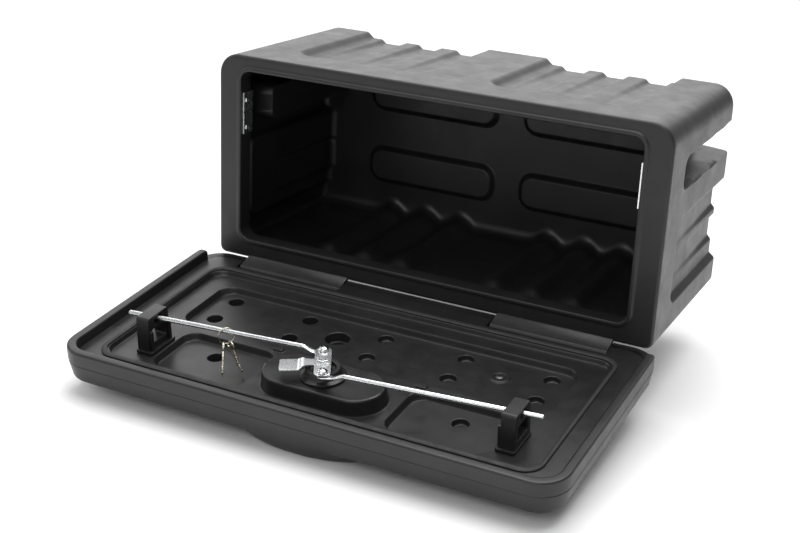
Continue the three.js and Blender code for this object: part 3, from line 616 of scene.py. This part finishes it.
def make_lid_inner():
    skin = Skin()

    def loop(half, low, high, radius):
        return ray_loop(half, low, high, radius, LINER_MIDDLE, LINER_RAYS)

    def at(outline, h):
        return flat(outline, RIM_Y + h)

    rim = loop(311.7, LID_LOW + 4.3, LID_HIGH - 12.3, 24)
    rings = [at(rim, -2.2), at(rim, -0.8), at(loop(310.9, LID_LOW + 5.1, LID_HIGH - 13.1, 23.5), 0.0)]
    for cut, h in round_over(0.0, CHANNEL_H, 3.4, count=8):
        rings.append(at(loop(282.5 - cut, 18.5 + cut, 266.7 - cut, 20 - cut * 0.5), h))
    _, edge = skin.sweep(rings)

    def sunk(outline, holes):
        """One recess pressed into the floor, fitted with the loops of its dimples; gives its rim."""
        wall = round_over(CHANNEL_H, RECESS_H, 4.4, count=9)
        mouth, foot = skin.sweep([at(inset(outline, cut), h) for cut, h in wall])
        skin.fill(foot, *holes)
        return mouth

    def cup(x, z, profile, count=28):
        mouth, foot = skin.sweep([at(circle(x, z, r, count), RECESS_H + h) for r, h in profile])
        skin.fill(foot)
        return mouth

    def dimple(x, z):
        depth = 12.5 if x < -100 or (x < 0 and z > 150) else 7.5
        return cup(x, z, [(11.0, 0.0), (10.4, -0.25), (9.9, -1.0), (9.6, -depth * 0.6), (9.0, -depth + 1),
                          (7.5, -depth)])

    rear = [dimple(x, z) for x, z in DIMPLES if z < 150]
    rear.append(cup(*BIG_DIMPLE, [(17.0, 0.0), (16.2, -0.3), (15.6, -1.2), (15.2, -9.0), (14.4, -12.0),
                                  (12.5, -13.0)], 36))
    rear.append(cup(*PANEL_SCREW, [(13.0, 0.0), (12.2, 0.3), (11.7, 1.2), (10.8, 1.6), (8.6, 1.6), (7.9, 1.1),
                                   (7.6, 0.0)], 36))
    raised = [sunk(rounded_rect(-251.5, 251.5, 43.5, 153, 22, 12), rear)]
    for sign in (1, -1):
        x0, x1 = sorted((sign * 91.0, sign * 223.0))
        front = [dimple(x, z) for x, z in DIMPLES if z > 150 and x * sign > 0]
        raised.append(sunk(rounded_rect(x0, x1, 168, 258, 20, 12), front))

    half_width = 36.8
    housing = rounded_rect(-79, 79, LATCH_Z - half_width, LATCH_Z + half_width, half_width - 0.01, 20)
    profile = [(-3.0, CHANNEL_H), (-1.0, CHANNEL_H + 0.5), (-0.1, CHANNEL_H + 2.2), (1.2, HOUSING_H - 2.6),
               (1.7, HOUSING_H - 1.2), (2.8, HOUSING_H - 0.3), (4.4, HOUSING_H)]
    foot, crown = skin.sweep([at(inset(housing, cut), h) for cut, h in profile])
    skin.fill(crown)
    raised.append(foot)
    for x in (-97.0, 97.0):
        boss = rounded_rect(x - 7, x + 7, 157.5, 165.5, 2, 4)
        steps = [(-1.2, CHANNEL_H), (-0.3, CHANNEL_H + 0.4), (0.2, CHANNEL_H + 2.4), (0.9, CHANNEL_H + 3)]
        base, cap = skin.sweep([at(inset(boss, cut), h) for cut, h in steps])
        skin.fill(cap)
        raised.append(base)
    skin.fill(edge, *raised)
    piece = skin.build("lid_liner", LID, 45)
    notch_liner(piece)
    apply(piece, "SOLIDIFY", thickness=2.0 * MM, offset=-1.0)
    smooth(piece, 45)
    return piece


def make_seal():
    """The rubber ridge: a rounded section that is wider along the top and bottom runs."""
    skin = Skin()

    def loop(x_cut, z_cut, r):
        return ray_loop(288 - x_cut, 10 + z_cut, 276 - z_cut, r, LINER_MIDDLE, LINER_RAYS)

    profile = [(0.0, 0.3), (0.0, 1.5), (0.12, 2.2), (0.3, 2.7), (0.5, 2.8), (0.7, 2.7), (0.88, 2.2),
               (1.0, 1.5), (1.0, 0.3)]
    skin.closed([flat(loop(5.4 * s, 8.0 * s, 24 - 5 * s), RIM_Y + h) for s, h in profile])
    return skin.build("lid_seal_ridge", LID, 50)


# ---------------------------------------------------------------- latch and lid hardware

UNLOCKED = -61.7
CRANK = 25.3
ROD_RADIUS, ROD_H, ROD_END = 3.0, 34.0, 259.3
EYE_H, EYE_RADIUS = 29.2, 6.5
ROD_TILT = 5.63
LATCH = turned((0, 0, LATCH_Z), UNLOCKED, LID)
ALONG_X = Matrix(((0, 1, 0, 0), (0, 0, 1, 0), (1, 0, 0, 0), (0, 0, 0, 1)))
ALONG_Z = Matrix(((1, 0, 0, 0), (0, 0, 1, 0), (0, -1, 0, 0), (0, 0, 0, 1)))


def lid_y(height):
    return RIM_Y + height


def rod_place(sign):
    a = math.radians(-UNLOCKED)
    start = (sign * CRANK * math.cos(a), 0, LATCH_Z + sign * CRANK * math.sin(a))
    return turned(start, (0 if sign > 0 else 180) + ROD_TILT, LID)


def loft_x(name, sections, place, count=28, angle=40):
    """Oval sections along x: each is (x, y, half width in z, half thickness in y, squareness)."""
    skin = Skin()
    a = np.linspace(0, 2 * math.pi, count, endpoint=False)
    rings = []
    for x, y, wide, thick, power in sections:
        c, s = np.cos(a), np.sin(a)
        z = wide * np.sign(c) * np.abs(c) ** power
        t = thick * np.sign(s) * np.abs(s) ** power
        rings.append(np.column_stack([np.full(count, x), y + t, z]))
    skin.solid(rings)
    return skin.build(name, place, angle)


def make_rod(sign, name):
    sections = []
    for x in np.linspace(-EYE_RADIUS + 0.05, 0, 9):
        sections.append((x, lid_y(EYE_H), math.sqrt(EYE_RADIUS ** 2 - x * x), 1.4, 0.45))
    for x in np.linspace(1.5, 30, 20):
        t = float(ease((x - 11) / 17))
        wide = 6.5 + (ROD_RADIUS + 0.7 - 6.5) * float(ease(x / 13)) - 0.7 * t
        thick = 1.4 + (ROD_RADIUS - 1.4) * t
        sections.append((x, lid_y(EYE_H + (ROD_H - EYE_H) * t), wide, thick, 0.45 + 0.55 * t))
    for x, r in ((ROD_END - 1.2, 3.0), (ROD_END - 0.5, 2.75), (ROD_END - 0.1, 2.2), (ROD_END, 1.6)):
        sections.append((x, lid_y(ROD_H), r, r, 1.0))
    return loft_x(name, sections, rod_place(sign))


def cross_cutter(place, y0, y1, r, w):
    skin = Skin()
    outline = np.array([(r, -w), (r, w), (w, w), (w, r), (-w, r), (-w, w), (-r, w), (-r, -w), (-w, -w),
                        (-w, -r), (w, -r), (w, -w)], float)
    skin.solid([flat(outline, y0), flat(outline, y1)])
    return skin.build("cutter", place)


def domed_screw(name, radius, height, shank, shank_length, place):
    """A pan head with a cross recess; its seat is at y = 0 and the head rises along +y."""
    dome = [(radius * math.cos(a), height * (0.18 + 0.82 * math.sin(a)))
            for a in np.radians(np.linspace(0, 86, 10))]
    profile = [(shank - 0.4, -shank_length), (shank, -shank_length + 0.5), (shank, 0), (radius, 0)] + dome
    screw = lathe(name, profile, place, 32, 45)
    cut_away(screw, [cross_cutter(place, height * 0.45, height + 2, radius * 0.48, radius * 0.12)], 40)
    return screw


def make_latch_plate():
    """The rotor plate with its stepped tongue; the tongue points along +z in the latch's frame."""
    plate = rounded_rect(-31.5, 31.5, -9.6, 9.6, 6.5, 8)
    y0, y1 = lid_y(31.3), lid_y(34.0)
    holes = [circle(-CRANK, 0, 2.6, 20), circle(CRANK, 0, 2.6, 20), circle(0, 0, 3.9, 24)]
    pieces = [prism("plate", plate, y0, y1, LATCH, 0.5, holes)]
    # the tongue: a narrow neck, a step down and a wide flat tab, drawn as stations along z
    neck = [(6.0, 7.0, 0.0), (13.0, 6.2, 0.0), (19.0, 7.4, 0.0), (23.0, 10.4, -0.2), (25.5, 12.0, -1.6),
            (28.0, 12.6, -3.2), (30.0, 12.6, -3.4), (48.6, 12.2, -3.4), (49.7, 11.6, -3.4),
            (50.0, 10.8, -3.4)]
    skin = Skin()
    rings = []
    for z, half, drop in neck:
        b = 0.45
        top, bottom = y1 + drop, y0 + drop
        rings.append(np.array([
            (-half + b, top, z), (half - b, top, z), (half, top - b, z), (half, bottom + b, z),
            (half - b, bottom, z), (-half + b, bottom, z), (-half, bottom + b, z), (-half, top - b, z)]))
    skin.solid(rings)
    pieces.append(skin.build("tongue", LATCH, 30))
    whole = merge("latch_plate_steel", pieces)
    smooth(whole, 30)
    return whole


def make_spindle_nut():
    hexagon = circle(0, 0, 7.0, 6)
    square = rounded_rect(-8.2, 8.2, -8.2, 8.2, 1.6, 4)
    washer = prism("washer", square, lid_y(34.3), lid_y(35.1), LATCH, 0.2, [circle(0, 0, 3.9, 24)])
    nut = prism("nut", hexagon, lid_y(35.1), lid_y(37.5), LATCH, 0.5, [circle(0, 0, 3.7, 24)], 20)
    return merge("spindle_nut_set", [washer, nut])


def make_spindle():
    y0 = lid_y(-8.7)
    profile = [(4.9, y0), (5.5, y0 + 0.6), (5.5, lid_y(30.6)), (4.9, lid_y(31)), (3.5, lid_y(31.1)),
               (3.5, lid_y(38.4)), (2.9, lid_y(39))]
    return lathe("latch_spindle_shaft", profile, LATCH, 28)


def make_bushing():
    foot = lid_y(HOUSING_H) + 0.3
    skin = Skin()
    profile = [(26.6, 0.0), (27.0, 0.5), (27.0, 2.4), (26.3, 3.1), (22.6, 4.4), (21.4, 6.0), (20.8, 11.4),
               (20.0, 12.5), (16.0, 12.5), (15.2, 12.0), (15.0, 9.2), (13.5, 8.6), (10.5, 8.6),
               (10.2, 11.8), (9.6, 12.5), (6.8, 12.5), (6.3, 12.0), (6.3, 0.0)]
    skin.closed([flat(circle(0, LATCH_Z, r, 56), foot + y) for r, y in profile])
    return skin.build("spindle_bushing_moulding", LID, 40)


def make_guide(sign, name):
    """A guide: a tapered arch with a slot for the rod, on a flanged foot."""
    place = LID @ Matrix.Translation((0, 0, LATCH_Z)) @ ALONG_X
    x0, x1 = sorted((sign * 230.0, sign * 248.0))
    foot, top = lid_y(CHANNEL_H + 0.3), lid_y(41.0)
    bottom = [(-21.8, foot), (21.8, foot)]
    right = arc(16.6, top - 3.5, 3.5, 8, 90, 6)
    left = arc(-16.6, top - 3.5, 3.5, 90, 172, 6)
    outline = np.vstack([bottom, right, left])
    slot = rounded_rect(-7.4, 7.4, lid_y(ROD_H - 4.5), lid_y(ROD_H + 3.8), 2.2, 5)
    window = rounded_rect(-13, 13, foot + 12, lid_y(ROD_H - 10), 2.5, 5)
    arch = prism("arch", outline, x0, x1, place, 1.1, [slot, window], 40)
    flange_x = sorted((sign * 225.0, sign * 249.0))
    flange = rounded_rect(flange_x[0], flange_x[1], LATCH_Z - 25, LATCH_Z + 25, 3, 5)
    base = prism("base", flange, foot, foot + 4.2, LID, 0.9)
    ribs = []
    for z in (-17.5, 17.5):
        rib = rounded_rect(z - 2.2, z + 2.2, foot + 1, foot + 30, 1.5, 4)
        inner = sorted((sign * 226.5, sign * 231.0))
        ribs.append(prism("rib", rib, inner[0], inner[1], place, 0.7))
    whole = merge(name, [arch, base, *ribs])
    smooth(whole, 40)
    return whole


def make_strike(sign, name):
    """An angle plate: a leaf with two screw holes inside the opening and a return behind the frame."""
    inner = OPENING["half"] - STRIKE_GAP - STRIKE_THICKNESS
    outer = inner + STRIKE_THICKNESS
    back = FRAME_DEPTH + STRIKE_GAP
    bend = 2.0
    corner_out = [(inner + bend * (1 - math.sin(a)), back + 2.0 - bend * (1 - math.cos(a)))
                  for a in np.radians([90, 60, 30, 0])]
    outline = np.array([(inner, 2.0), *corner_out, (inner + 11, back + 2.0), (inner + 11, back),
                        (outer, back), (outer, 2.0)], float)
    if sign < 0:
        outline = np.column_stack([-outline[:, 0], outline[:, 1]])
    else:
        outline = outline[::-1]
    plate = prism(name, outline, -228.0, -172.0, BODY @ ALONG_Z, 0.25, angle=30)
    cutters = []
    for z in STRIKE_SCREWS.values():
        x0, x1 = sorted((sign * (inner - 1), sign * (outer + 1)))
        side = BODY @ Matrix.Translation((0, STRIKE_SCREW_Y, z)) @ ALONG_X
        skin = Skin()
        skin.solid([flat(circle(0, 0, 2.3, 20), x0), flat(circle(0, 0, 2.3, 20), x1)])
        cutters.append(skin.build("cutter", side))
    cut_away(plate, cutters, 30)
    return plate


def make_strike_screw(sign, z, name):
    seat = OPENING["half"] - 2 * STRIKE_GAP - STRIKE_THICKNESS
    turn = Matrix.Rotation(math.radians(90 if sign > 0 else -90), 4, "Z")
    place = BODY @ Matrix.Translation((sign * seat, STRIKE_SCREW_Y, z)) @ turn @ Matrix.Rotation(0.4, 4, "Y")
    return domed_screw(name, 4.0, 2.2, 2.0, 11.0, place)


def make_handle():
    outer, rear = lid_y(-39), lid_y(5.5)
    grip = rounded_rect(-29, 29, -9, 9, 8.99, 14)
    parts = [prism("grip", grip, outer, lid_y(-14), LATCH, 1.8, [circle(0, 0, 9.3, 40)])]
    hub = [(9.3, lid_y(-30)), (18.4, lid_y(-30)), (19.0, lid_y(-29.4)), (19.0, rear), (10.0, rear),
           (9.3, rear)]
    parts.append(turned_ring("hub", hub, LATCH))
    whole = merge("latch_handle_moulding", parts)
    smooth(whole, 40)
    return whole


def turned_ring(name, profile, place, count=40):
    skin = Skin()
    unit = circle(0, 0, 1, count)
    skin.closed([flat(unit * r, y) for r, y in profile])
    return skin.build(name, place, 35)


def make_lock():
    cylinder = turned_ring("lock_cylinder_barrel", [
        (6.8, lid_y(-12.3)), (9.0, lid_y(-12.3)), (9.0, lid_y(-39.3)), (10.6, lid_y(-39.3)),
        (11.0, lid_y(-39.7)), (11.0, lid_y(-40.3)), (10.3, lid_y(-41)), (7.4, lid_y(-41)),
        (6.8, lid_y(-40.4))], LATCH)
    plug = lathe("lock_plug_barrel", [(6.0, lid_y(-14.3)), (6.5, lid_y(-14.8)), (6.5, lid_y(-40.0)),
                                      (6.1, lid_y(-40.5))], LATCH, 32)
    cut_away(plug, [cutter_box(-0.9, 0.9, lid_y(-42), lid_y(-24), -4.2, 4.2, LATCH)], 30)
    return cylinder, plug


# ---------------------------------------------------------------- keys

RING_RADIUS, RING_WIRE = 10.2, 0.9
RING_DROP = RING_RADIUS - RING_WIRE - ROD_RADIUS - 0.35
KEY_LEAN = 42.0
KEY_HEADINGS = (60.0, 19.0)


def ring_place():
    at_rod = Vector(joint("ring_swing")["pos_m"])
    return (Matrix.Translation(at_rod) @ Matrix.Scale(MM, 4) @ Matrix.Translation((0, 0, -RING_DROP))
            @ Matrix.Rotation(math.radians(50), 4, "Z"))


def make_key_ring():
    """A split ring: two close turns of wire in its own XZ plane."""
    skin = Skin()
    turns, steps, wire = 2.0, 96, 0.48
    rings = []
    section = circle(0, 0, wire, 10)
    for i in range(steps + 1):
        t = i / steps
        a = 2 * math.pi * turns * t + 0.6
        y = (RING_WIRE - wire) * float(np.clip((t - 0.5) * 3, -1, 1))
        radial = np.array([math.cos(a), 0, math.sin(a)])
        centre = radial * RING_RADIUS + np.array([0, y, 0])
        rings.append(np.array([centre + radial * u * 1.25 + np.array([0, v, 0]) for u, v in section]))
    skin.solid(rings)
    return skin.build("key_ring_wire", ring_place(), 50)


def key_outline():
    bow = arc(0, -3.5, 7.0, -60, 240, 26)
    left = [(-3.0, -11.6), (-3.0, -14.0), (-2.6, -15.0), (-2.6, -35.5), (-1.0, -38.0)]
    teeth = [(0.4, -37.6)]
    for i, cut in enumerate((0.9, 1.6, 0.7, 1.8, 1.1, 0.8)):
        z = -35.4 + i * 3.2
        teeth += [(2.6, z), (2.6, z + 0.6), (2.6 - cut, z + 1.5), (2.6 - cut, z + 2.0)]
    right = [(2.6, -16.0), (3.0, -14.0), (3.0, -11.6)]
    return np.vstack([bow, left, teeth, right])


def make_key(index, name):
    pivot = Vector(joint(("first_key_swing", "second_key_swing")[index])["pos_m"])
    place = (Matrix.Translation(pivot) @ Matrix.Scale(MM, 4) @ Matrix.Translation((0, 0, -1.6))
             @ Matrix.Rotation(-math.radians(KEY_HEADINGS[index]), 4, "Z")
             @ Matrix.Rotation(-math.radians(KEY_LEAN), 4, "Y"))
    return prism(name, key_outline(), -0.9, 0.9, place, 0.22, [circle(0, 0, 3.2, 24)], 30)


# ---------------------------------------------------------------- materials

def material(name):
    made = bpy.data.materials.new(name)
    made.use_nodes = True
    tree = made.node_tree
    shader = tree.nodes["Principled BSDF"]
    return made, tree, shader


def node(tree, kind, inputs=(), **settings):
    made = tree.nodes.new(kind)
    for key, value in settings.items():
        setattr(made, key, value)
    for key, value in dict(inputs).items():
        if isinstance(value, bpy.types.NodeSocket):
            tree.links.new(value, made.inputs[key])
        else:
            made.inputs[key].default_value = value
    return made


def place_coordinates(tree):
    return node(tree, "ShaderNodeTexCoord").outputs["Object"]


def noise(tree, scale, detail=4.0, roughness=0.5, vector=None):
    vector = vector or place_coordinates(tree)
    return node(tree, "ShaderNodeTexNoise", {"Vector": vector, "Scale": scale, "Detail": detail,
                                             "Roughness": roughness}).outputs["Fac"]


def ranged(tree, value, low, high, out_low, out_high):
    return node(tree, "ShaderNodeMapRange", {"Value": value, "From Min": low, "From Max": high,
                                             "To Min": out_low, "To Max": out_high}).outputs["Result"]


def mixed(tree, share, first, second):
    made = node(tree, "ShaderNodeMix", data_type="RGBA")
    tree.links.new(share, made.inputs["Factor"])
    for key, value in (("A", first), ("B", second)):
        socket = next(s for s in made.inputs if s.name == key and s.type == "RGBA")
        if isinstance(value, bpy.types.NodeSocket):
            tree.links.new(value, socket)
        else:
            socket.default_value = (*value, 1.0)
    return next(s for s in made.outputs if s.type == "RGBA")


def bumped(tree, shader, height, strength, distance, under=None):
    bump = node(tree, "ShaderNodeBump", {"Height": height, "Strength": strength, "Distance": distance})
    if under is not None:
        tree.links.new(under, bump.inputs["Normal"])
    tree.links.new(bump.outputs["Normal"], shader.inputs["Normal"])
    return bump.outputs["Normal"]


def moulded_plastic(name, dark, light, rough_low, rough_high, grain=0.12):
    """Satin black plastic: fine moulding grain, slow waves in the wall, faint scuffs and dust."""
    made, tree, shader = material(name)
    cloud = noise(tree, 9.0, 5.0, 0.6)
    colour = mixed(tree, ranged(tree, cloud, 0.35, 0.7, 0.0, 1.0), dark, light)
    tree.links.new(colour, shader.inputs["Base Color"])
    smear = noise(tree, 34.0, 6.0, 0.65)
    tree.links.new(ranged(tree, smear, 0.3, 0.75, rough_low, rough_high), shader.inputs["Roughness"])
    shader.inputs["Specular IOR Level"].default_value = 0.5
    waves = bumped(tree, shader, noise(tree, 14.0, 2.0, 0.4), 0.18, 0.0016)
    bumped(tree, shader, noise(tree, 1500.0, 3.0, 0.7), grain, 0.0002, waves)
    return made


def rubber_material(name):
    made, tree, shader = material(name)
    colour = mixed(tree, noise(tree, 60.0, 4.0), (0.008, 0.008, 0.008), (0.02, 0.02, 0.021))
    tree.links.new(colour, shader.inputs["Base Color"])
    tree.links.new(ranged(tree, noise(tree, 90.0), 0.3, 0.7, 0.55, 0.75), shader.inputs["Roughness"])
    bumped(tree, shader, noise(tree, 900.0, 3.0), 0.2, 0.0002)
    return made


def metal_material(name, dark, light, rough_low, rough_high, blotch=160.0, scratch=0.1):
    """Plated steel: blotchy plating, fine drawn lines and a little dulling."""
    made, tree, shader = material(name)
    shader.inputs["Metallic"].default_value = 1.0
    cloud = noise(tree, blotch, 5.0, 0.65)
    colour = mixed(tree, ranged(tree, cloud, 0.3, 0.7, 0.0, 1.0), dark, light)
    tree.links.new(colour, shader.inputs["Base Color"])
    stretched = node(tree, "ShaderNodeMapping", {"Vector": place_coordinates(tree)})
    stretched.inputs["Scale"].default_value = (6.0, 500.0, 500.0)
    lines = noise(tree, 3.0, 4.0, 0.7, stretched.outputs["Vector"])
    tree.links.new(ranged(tree, cloud, 0.25, 0.8, rough_low, rough_high), shader.inputs["Roughness"])
    bumped(tree, shader, lines, scratch, 0.00003)
    return made


SHELL = moulded_plastic("shell_plastic", (0.0105, 0.0105, 0.0105), (0.0165, 0.0165, 0.0168), 0.36, 0.5)
LINER = moulded_plastic("liner_plastic", (0.0105, 0.0105, 0.0105), (0.017, 0.017, 0.017), 0.3, 0.45, 0.06)
GUIDE = moulded_plastic("guide_plastic", (0.008, 0.008, 0.008), (0.014, 0.014, 0.014), 0.34, 0.46, 0.08)
RUBBER = rubber_material("seal_rubber")
ZINC = metal_material("bright_zinc", (0.76, 0.79, 0.80), (0.86, 0.88, 0.89), 0.24, 0.3, 40.0, 0.004)
DULL_ZINC = metal_material("dull_zinc", (0.10, 0.10, 0.10), (0.16, 0.16, 0.16), 0.4, 0.55, 120.0, 0.05)
CHROME = metal_material("polished_chrome", (0.72, 0.73, 0.74), (0.80, 0.81, 0.82), 0.08, 0.16, 60.0, 0.02)
STEEL = metal_material("plain_steel", (0.34, 0.34, 0.34), (0.5, 0.5, 0.49), 0.3, 0.5)
NICKEL = metal_material("nickel_plate", (0.54, 0.51, 0.42), (0.66, 0.63, 0.53), 0.22, 0.34, 120.0, 0.05)


# ---------------------------------------------------------------- putting the pieces on the frame

def fit(piece, body, node_name, finish):
    """The piece stands for a CAD node, moves with its body and takes its finish."""
    apply(piece, "WEIGHTED_NORMAL", keep_sharp=True, weight=50)
    piece.data.materials.clear()
    piece.data.materials.append(finish)
    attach(piece, body)
    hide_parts(node_name)


fit(merge("body_shell_with_hinges", [make_body(), make_knuckle(1), make_knuckle(-1)]), "body", "body_shell",
    SHELL)
smooth(bpy.data.objects["body_shell_with_hinges"], 40)
for sign, hand in ((1, "right"), (-1, "left")):
    fit(make_strike(sign, f"strike_{hand}"), "body", f"strike_plate_{hand}", ZINC)
    for level, z in STRIKE_SCREWS.items():
        screw = make_strike_screw(sign, z, f"strike_{hand}_{level}_screw")
        fit(screw, "body", f"strike_screw_{hand}_{level}", CHROME)
    fit(make_guide(sign, f"guide_{hand}"), "lid", f"rod_guide_{hand}", GUIDE)
    fit(make_rod(sign, f"rod_{hand}"), f"{hand}_rod", f"lock_rod_{hand}", ZINC)
    pivot = LATCH @ Matrix.Translation((sign * CRANK, lid_y(34.3), 0))
    screw = domed_screw(f"pivot_{hand}", 6.2, 4.6, 2.4, 6.6, pivot)
    fit(screw, "latch", f"pivot_screw_{hand}", CHROME)

fit(make_lid_outer(), "lid", "lid_outer_panel", SHELL)
fit(make_lid_inner(), "lid", "lid_inner_panel", LINER)
fit(make_seal(), "lid", "lid_seal", RUBBER)
fit(make_bushing(), "lid", "spindle_bushing", GUIDE)
panel_place = LID @ Matrix.Translation((PANEL_SCREW[0], lid_y(RECESS_H) + 0.3, PANEL_SCREW[1]))
fit(domed_screw("panel_screw", 4.9, 2.0, 2.0, 8.6, panel_place), "lid", "lid_panel_screw", DULL_ZINC)

fit(make_latch_plate(), "latch", "latch_plate", ZINC)
fit(make_spindle_nut(), "latch", "spindle_nut", ZINC)
fit(make_spindle(), "latch", "latch_spindle", STEEL)
fit(make_handle(), "latch", "latch_handle", SHELL)
barrel, plug = make_lock()
fit(barrel, "latch", "lock_cylinder", CHROME)
fit(plug, "plug", "lock_plug", NICKEL)
fit(make_key_ring(), "ring", "key_ring", NICKEL)
fit(make_key(0, "first_key_blank"), "first_key", "key_1", NICKEL)
fit(make_key(1, "second_key_blank"), "second_key", "key_2", NICKEL)
for name in ("hinge_pin_right", "hinge_pin_left"):
    pin = frame["nodes"][name]
    pin.data.materials.clear()
    pin.data.materials.append(STEEL)
    smooth(pin, 35)


# ---------------------------------------------------------------- floor, light and camera

def plain(name, colour, roughness):
    made, tree, shader = material(name)
    cloud = noise(tree, 2.0)
    tree.links.new(mixed(tree, cloud, colour, tuple(c * 0.99 for c in colour)), shader.inputs["Base Color"])
    shader.inputs["Roughness"].default_value = roughness
    return made


def make_floor():
    bpy.ops.mesh.primitive_plane_add(size=30, location=(0, 0, cad_bounds[0][2] - 0.0005))
    floor = bpy.context.object
    floor.name = "studio_floor"
    floor.data.materials.append(plain("studio_floor", (0.93, 0.93, 0.93), 0.9))


def area_light(name, at, target, size, power):
    data = bpy.data.lights.new(name, "AREA")
    data.shape = "RECTANGLE"
    data.size, data.size_y = size
    data.energy = power
    light = bpy.data.objects.new(name, data)
    bpy.context.scene.collection.objects.link(light)
    light.location = at
    light.rotation_euler = (Vector(target) - Vector(at)).to_track_quat("-Z", "Y").to_euler()


def make_lights():
    world = bpy.data.worlds.new("studio")
    bpy.context.scene.world = world
    world.use_nodes = True
    background = world.node_tree.nodes["Background"]
    background.inputs["Color"].default_value = (1, 1, 1, 1)
    background.inputs["Strength"].default_value = 0.32
    area_light("overhead", (0.1, 0.1, 2.5), (0, -0.2, 0), (2.8, 2.4), 95)
    area_light("back_sweep", (-1.8, 3.6, 1.9), (0, -0.2, 0), (6.0, 3.6), 105)
    area_light("left_window", (-2.4, -1.0, 1.3), (0, -0.3, -0.05), (1.2, 1.6), 12)
    area_light("front_fill", (0.3, -2.9, 1.7), (0, -0.1, -0.05), (1.8, 1.2), 20)


CAMERA_AZIMUTH, CAMERA_ELEVATION, CAMERA_ROLL = 26.4085, 20.7098, 2.6487
CAMERA_AT = (0.73197, -1.81048, 0.54585)
LENS_MM = 64.04


def make_camera():
    az, el, roll = (math.radians(v) for v in (CAMERA_AZIMUTH, CAMERA_ELEVATION, CAMERA_ROLL))
    back = Vector((math.sin(az) * math.cos(el), -math.cos(az) * math.cos(el), math.sin(el)))
    right = (-back).cross(Vector((0, 0, 1))).normalized()
    up = right.cross(-back)
    side = right * math.cos(roll) + up * math.sin(roll)
    top = up * math.cos(roll) - right * math.sin(roll)
    data = bpy.data.cameras.new("camera")
    data.lens = LENS_MM
    data.sensor_width = 36.0
    camera = bpy.data.objects.new("camera", data)
    bpy.context.scene.collection.objects.link(camera)
    turn = Matrix((side, top, back)).transposed().to_4x4()
    camera.matrix_world = Matrix.Translation(CAMERA_AT) @ turn
    bpy.context.scene.camera = camera


make_floor()
make_lights()
make_camera()
bpy.context.scene.view_settings.view_transform = "Standard"
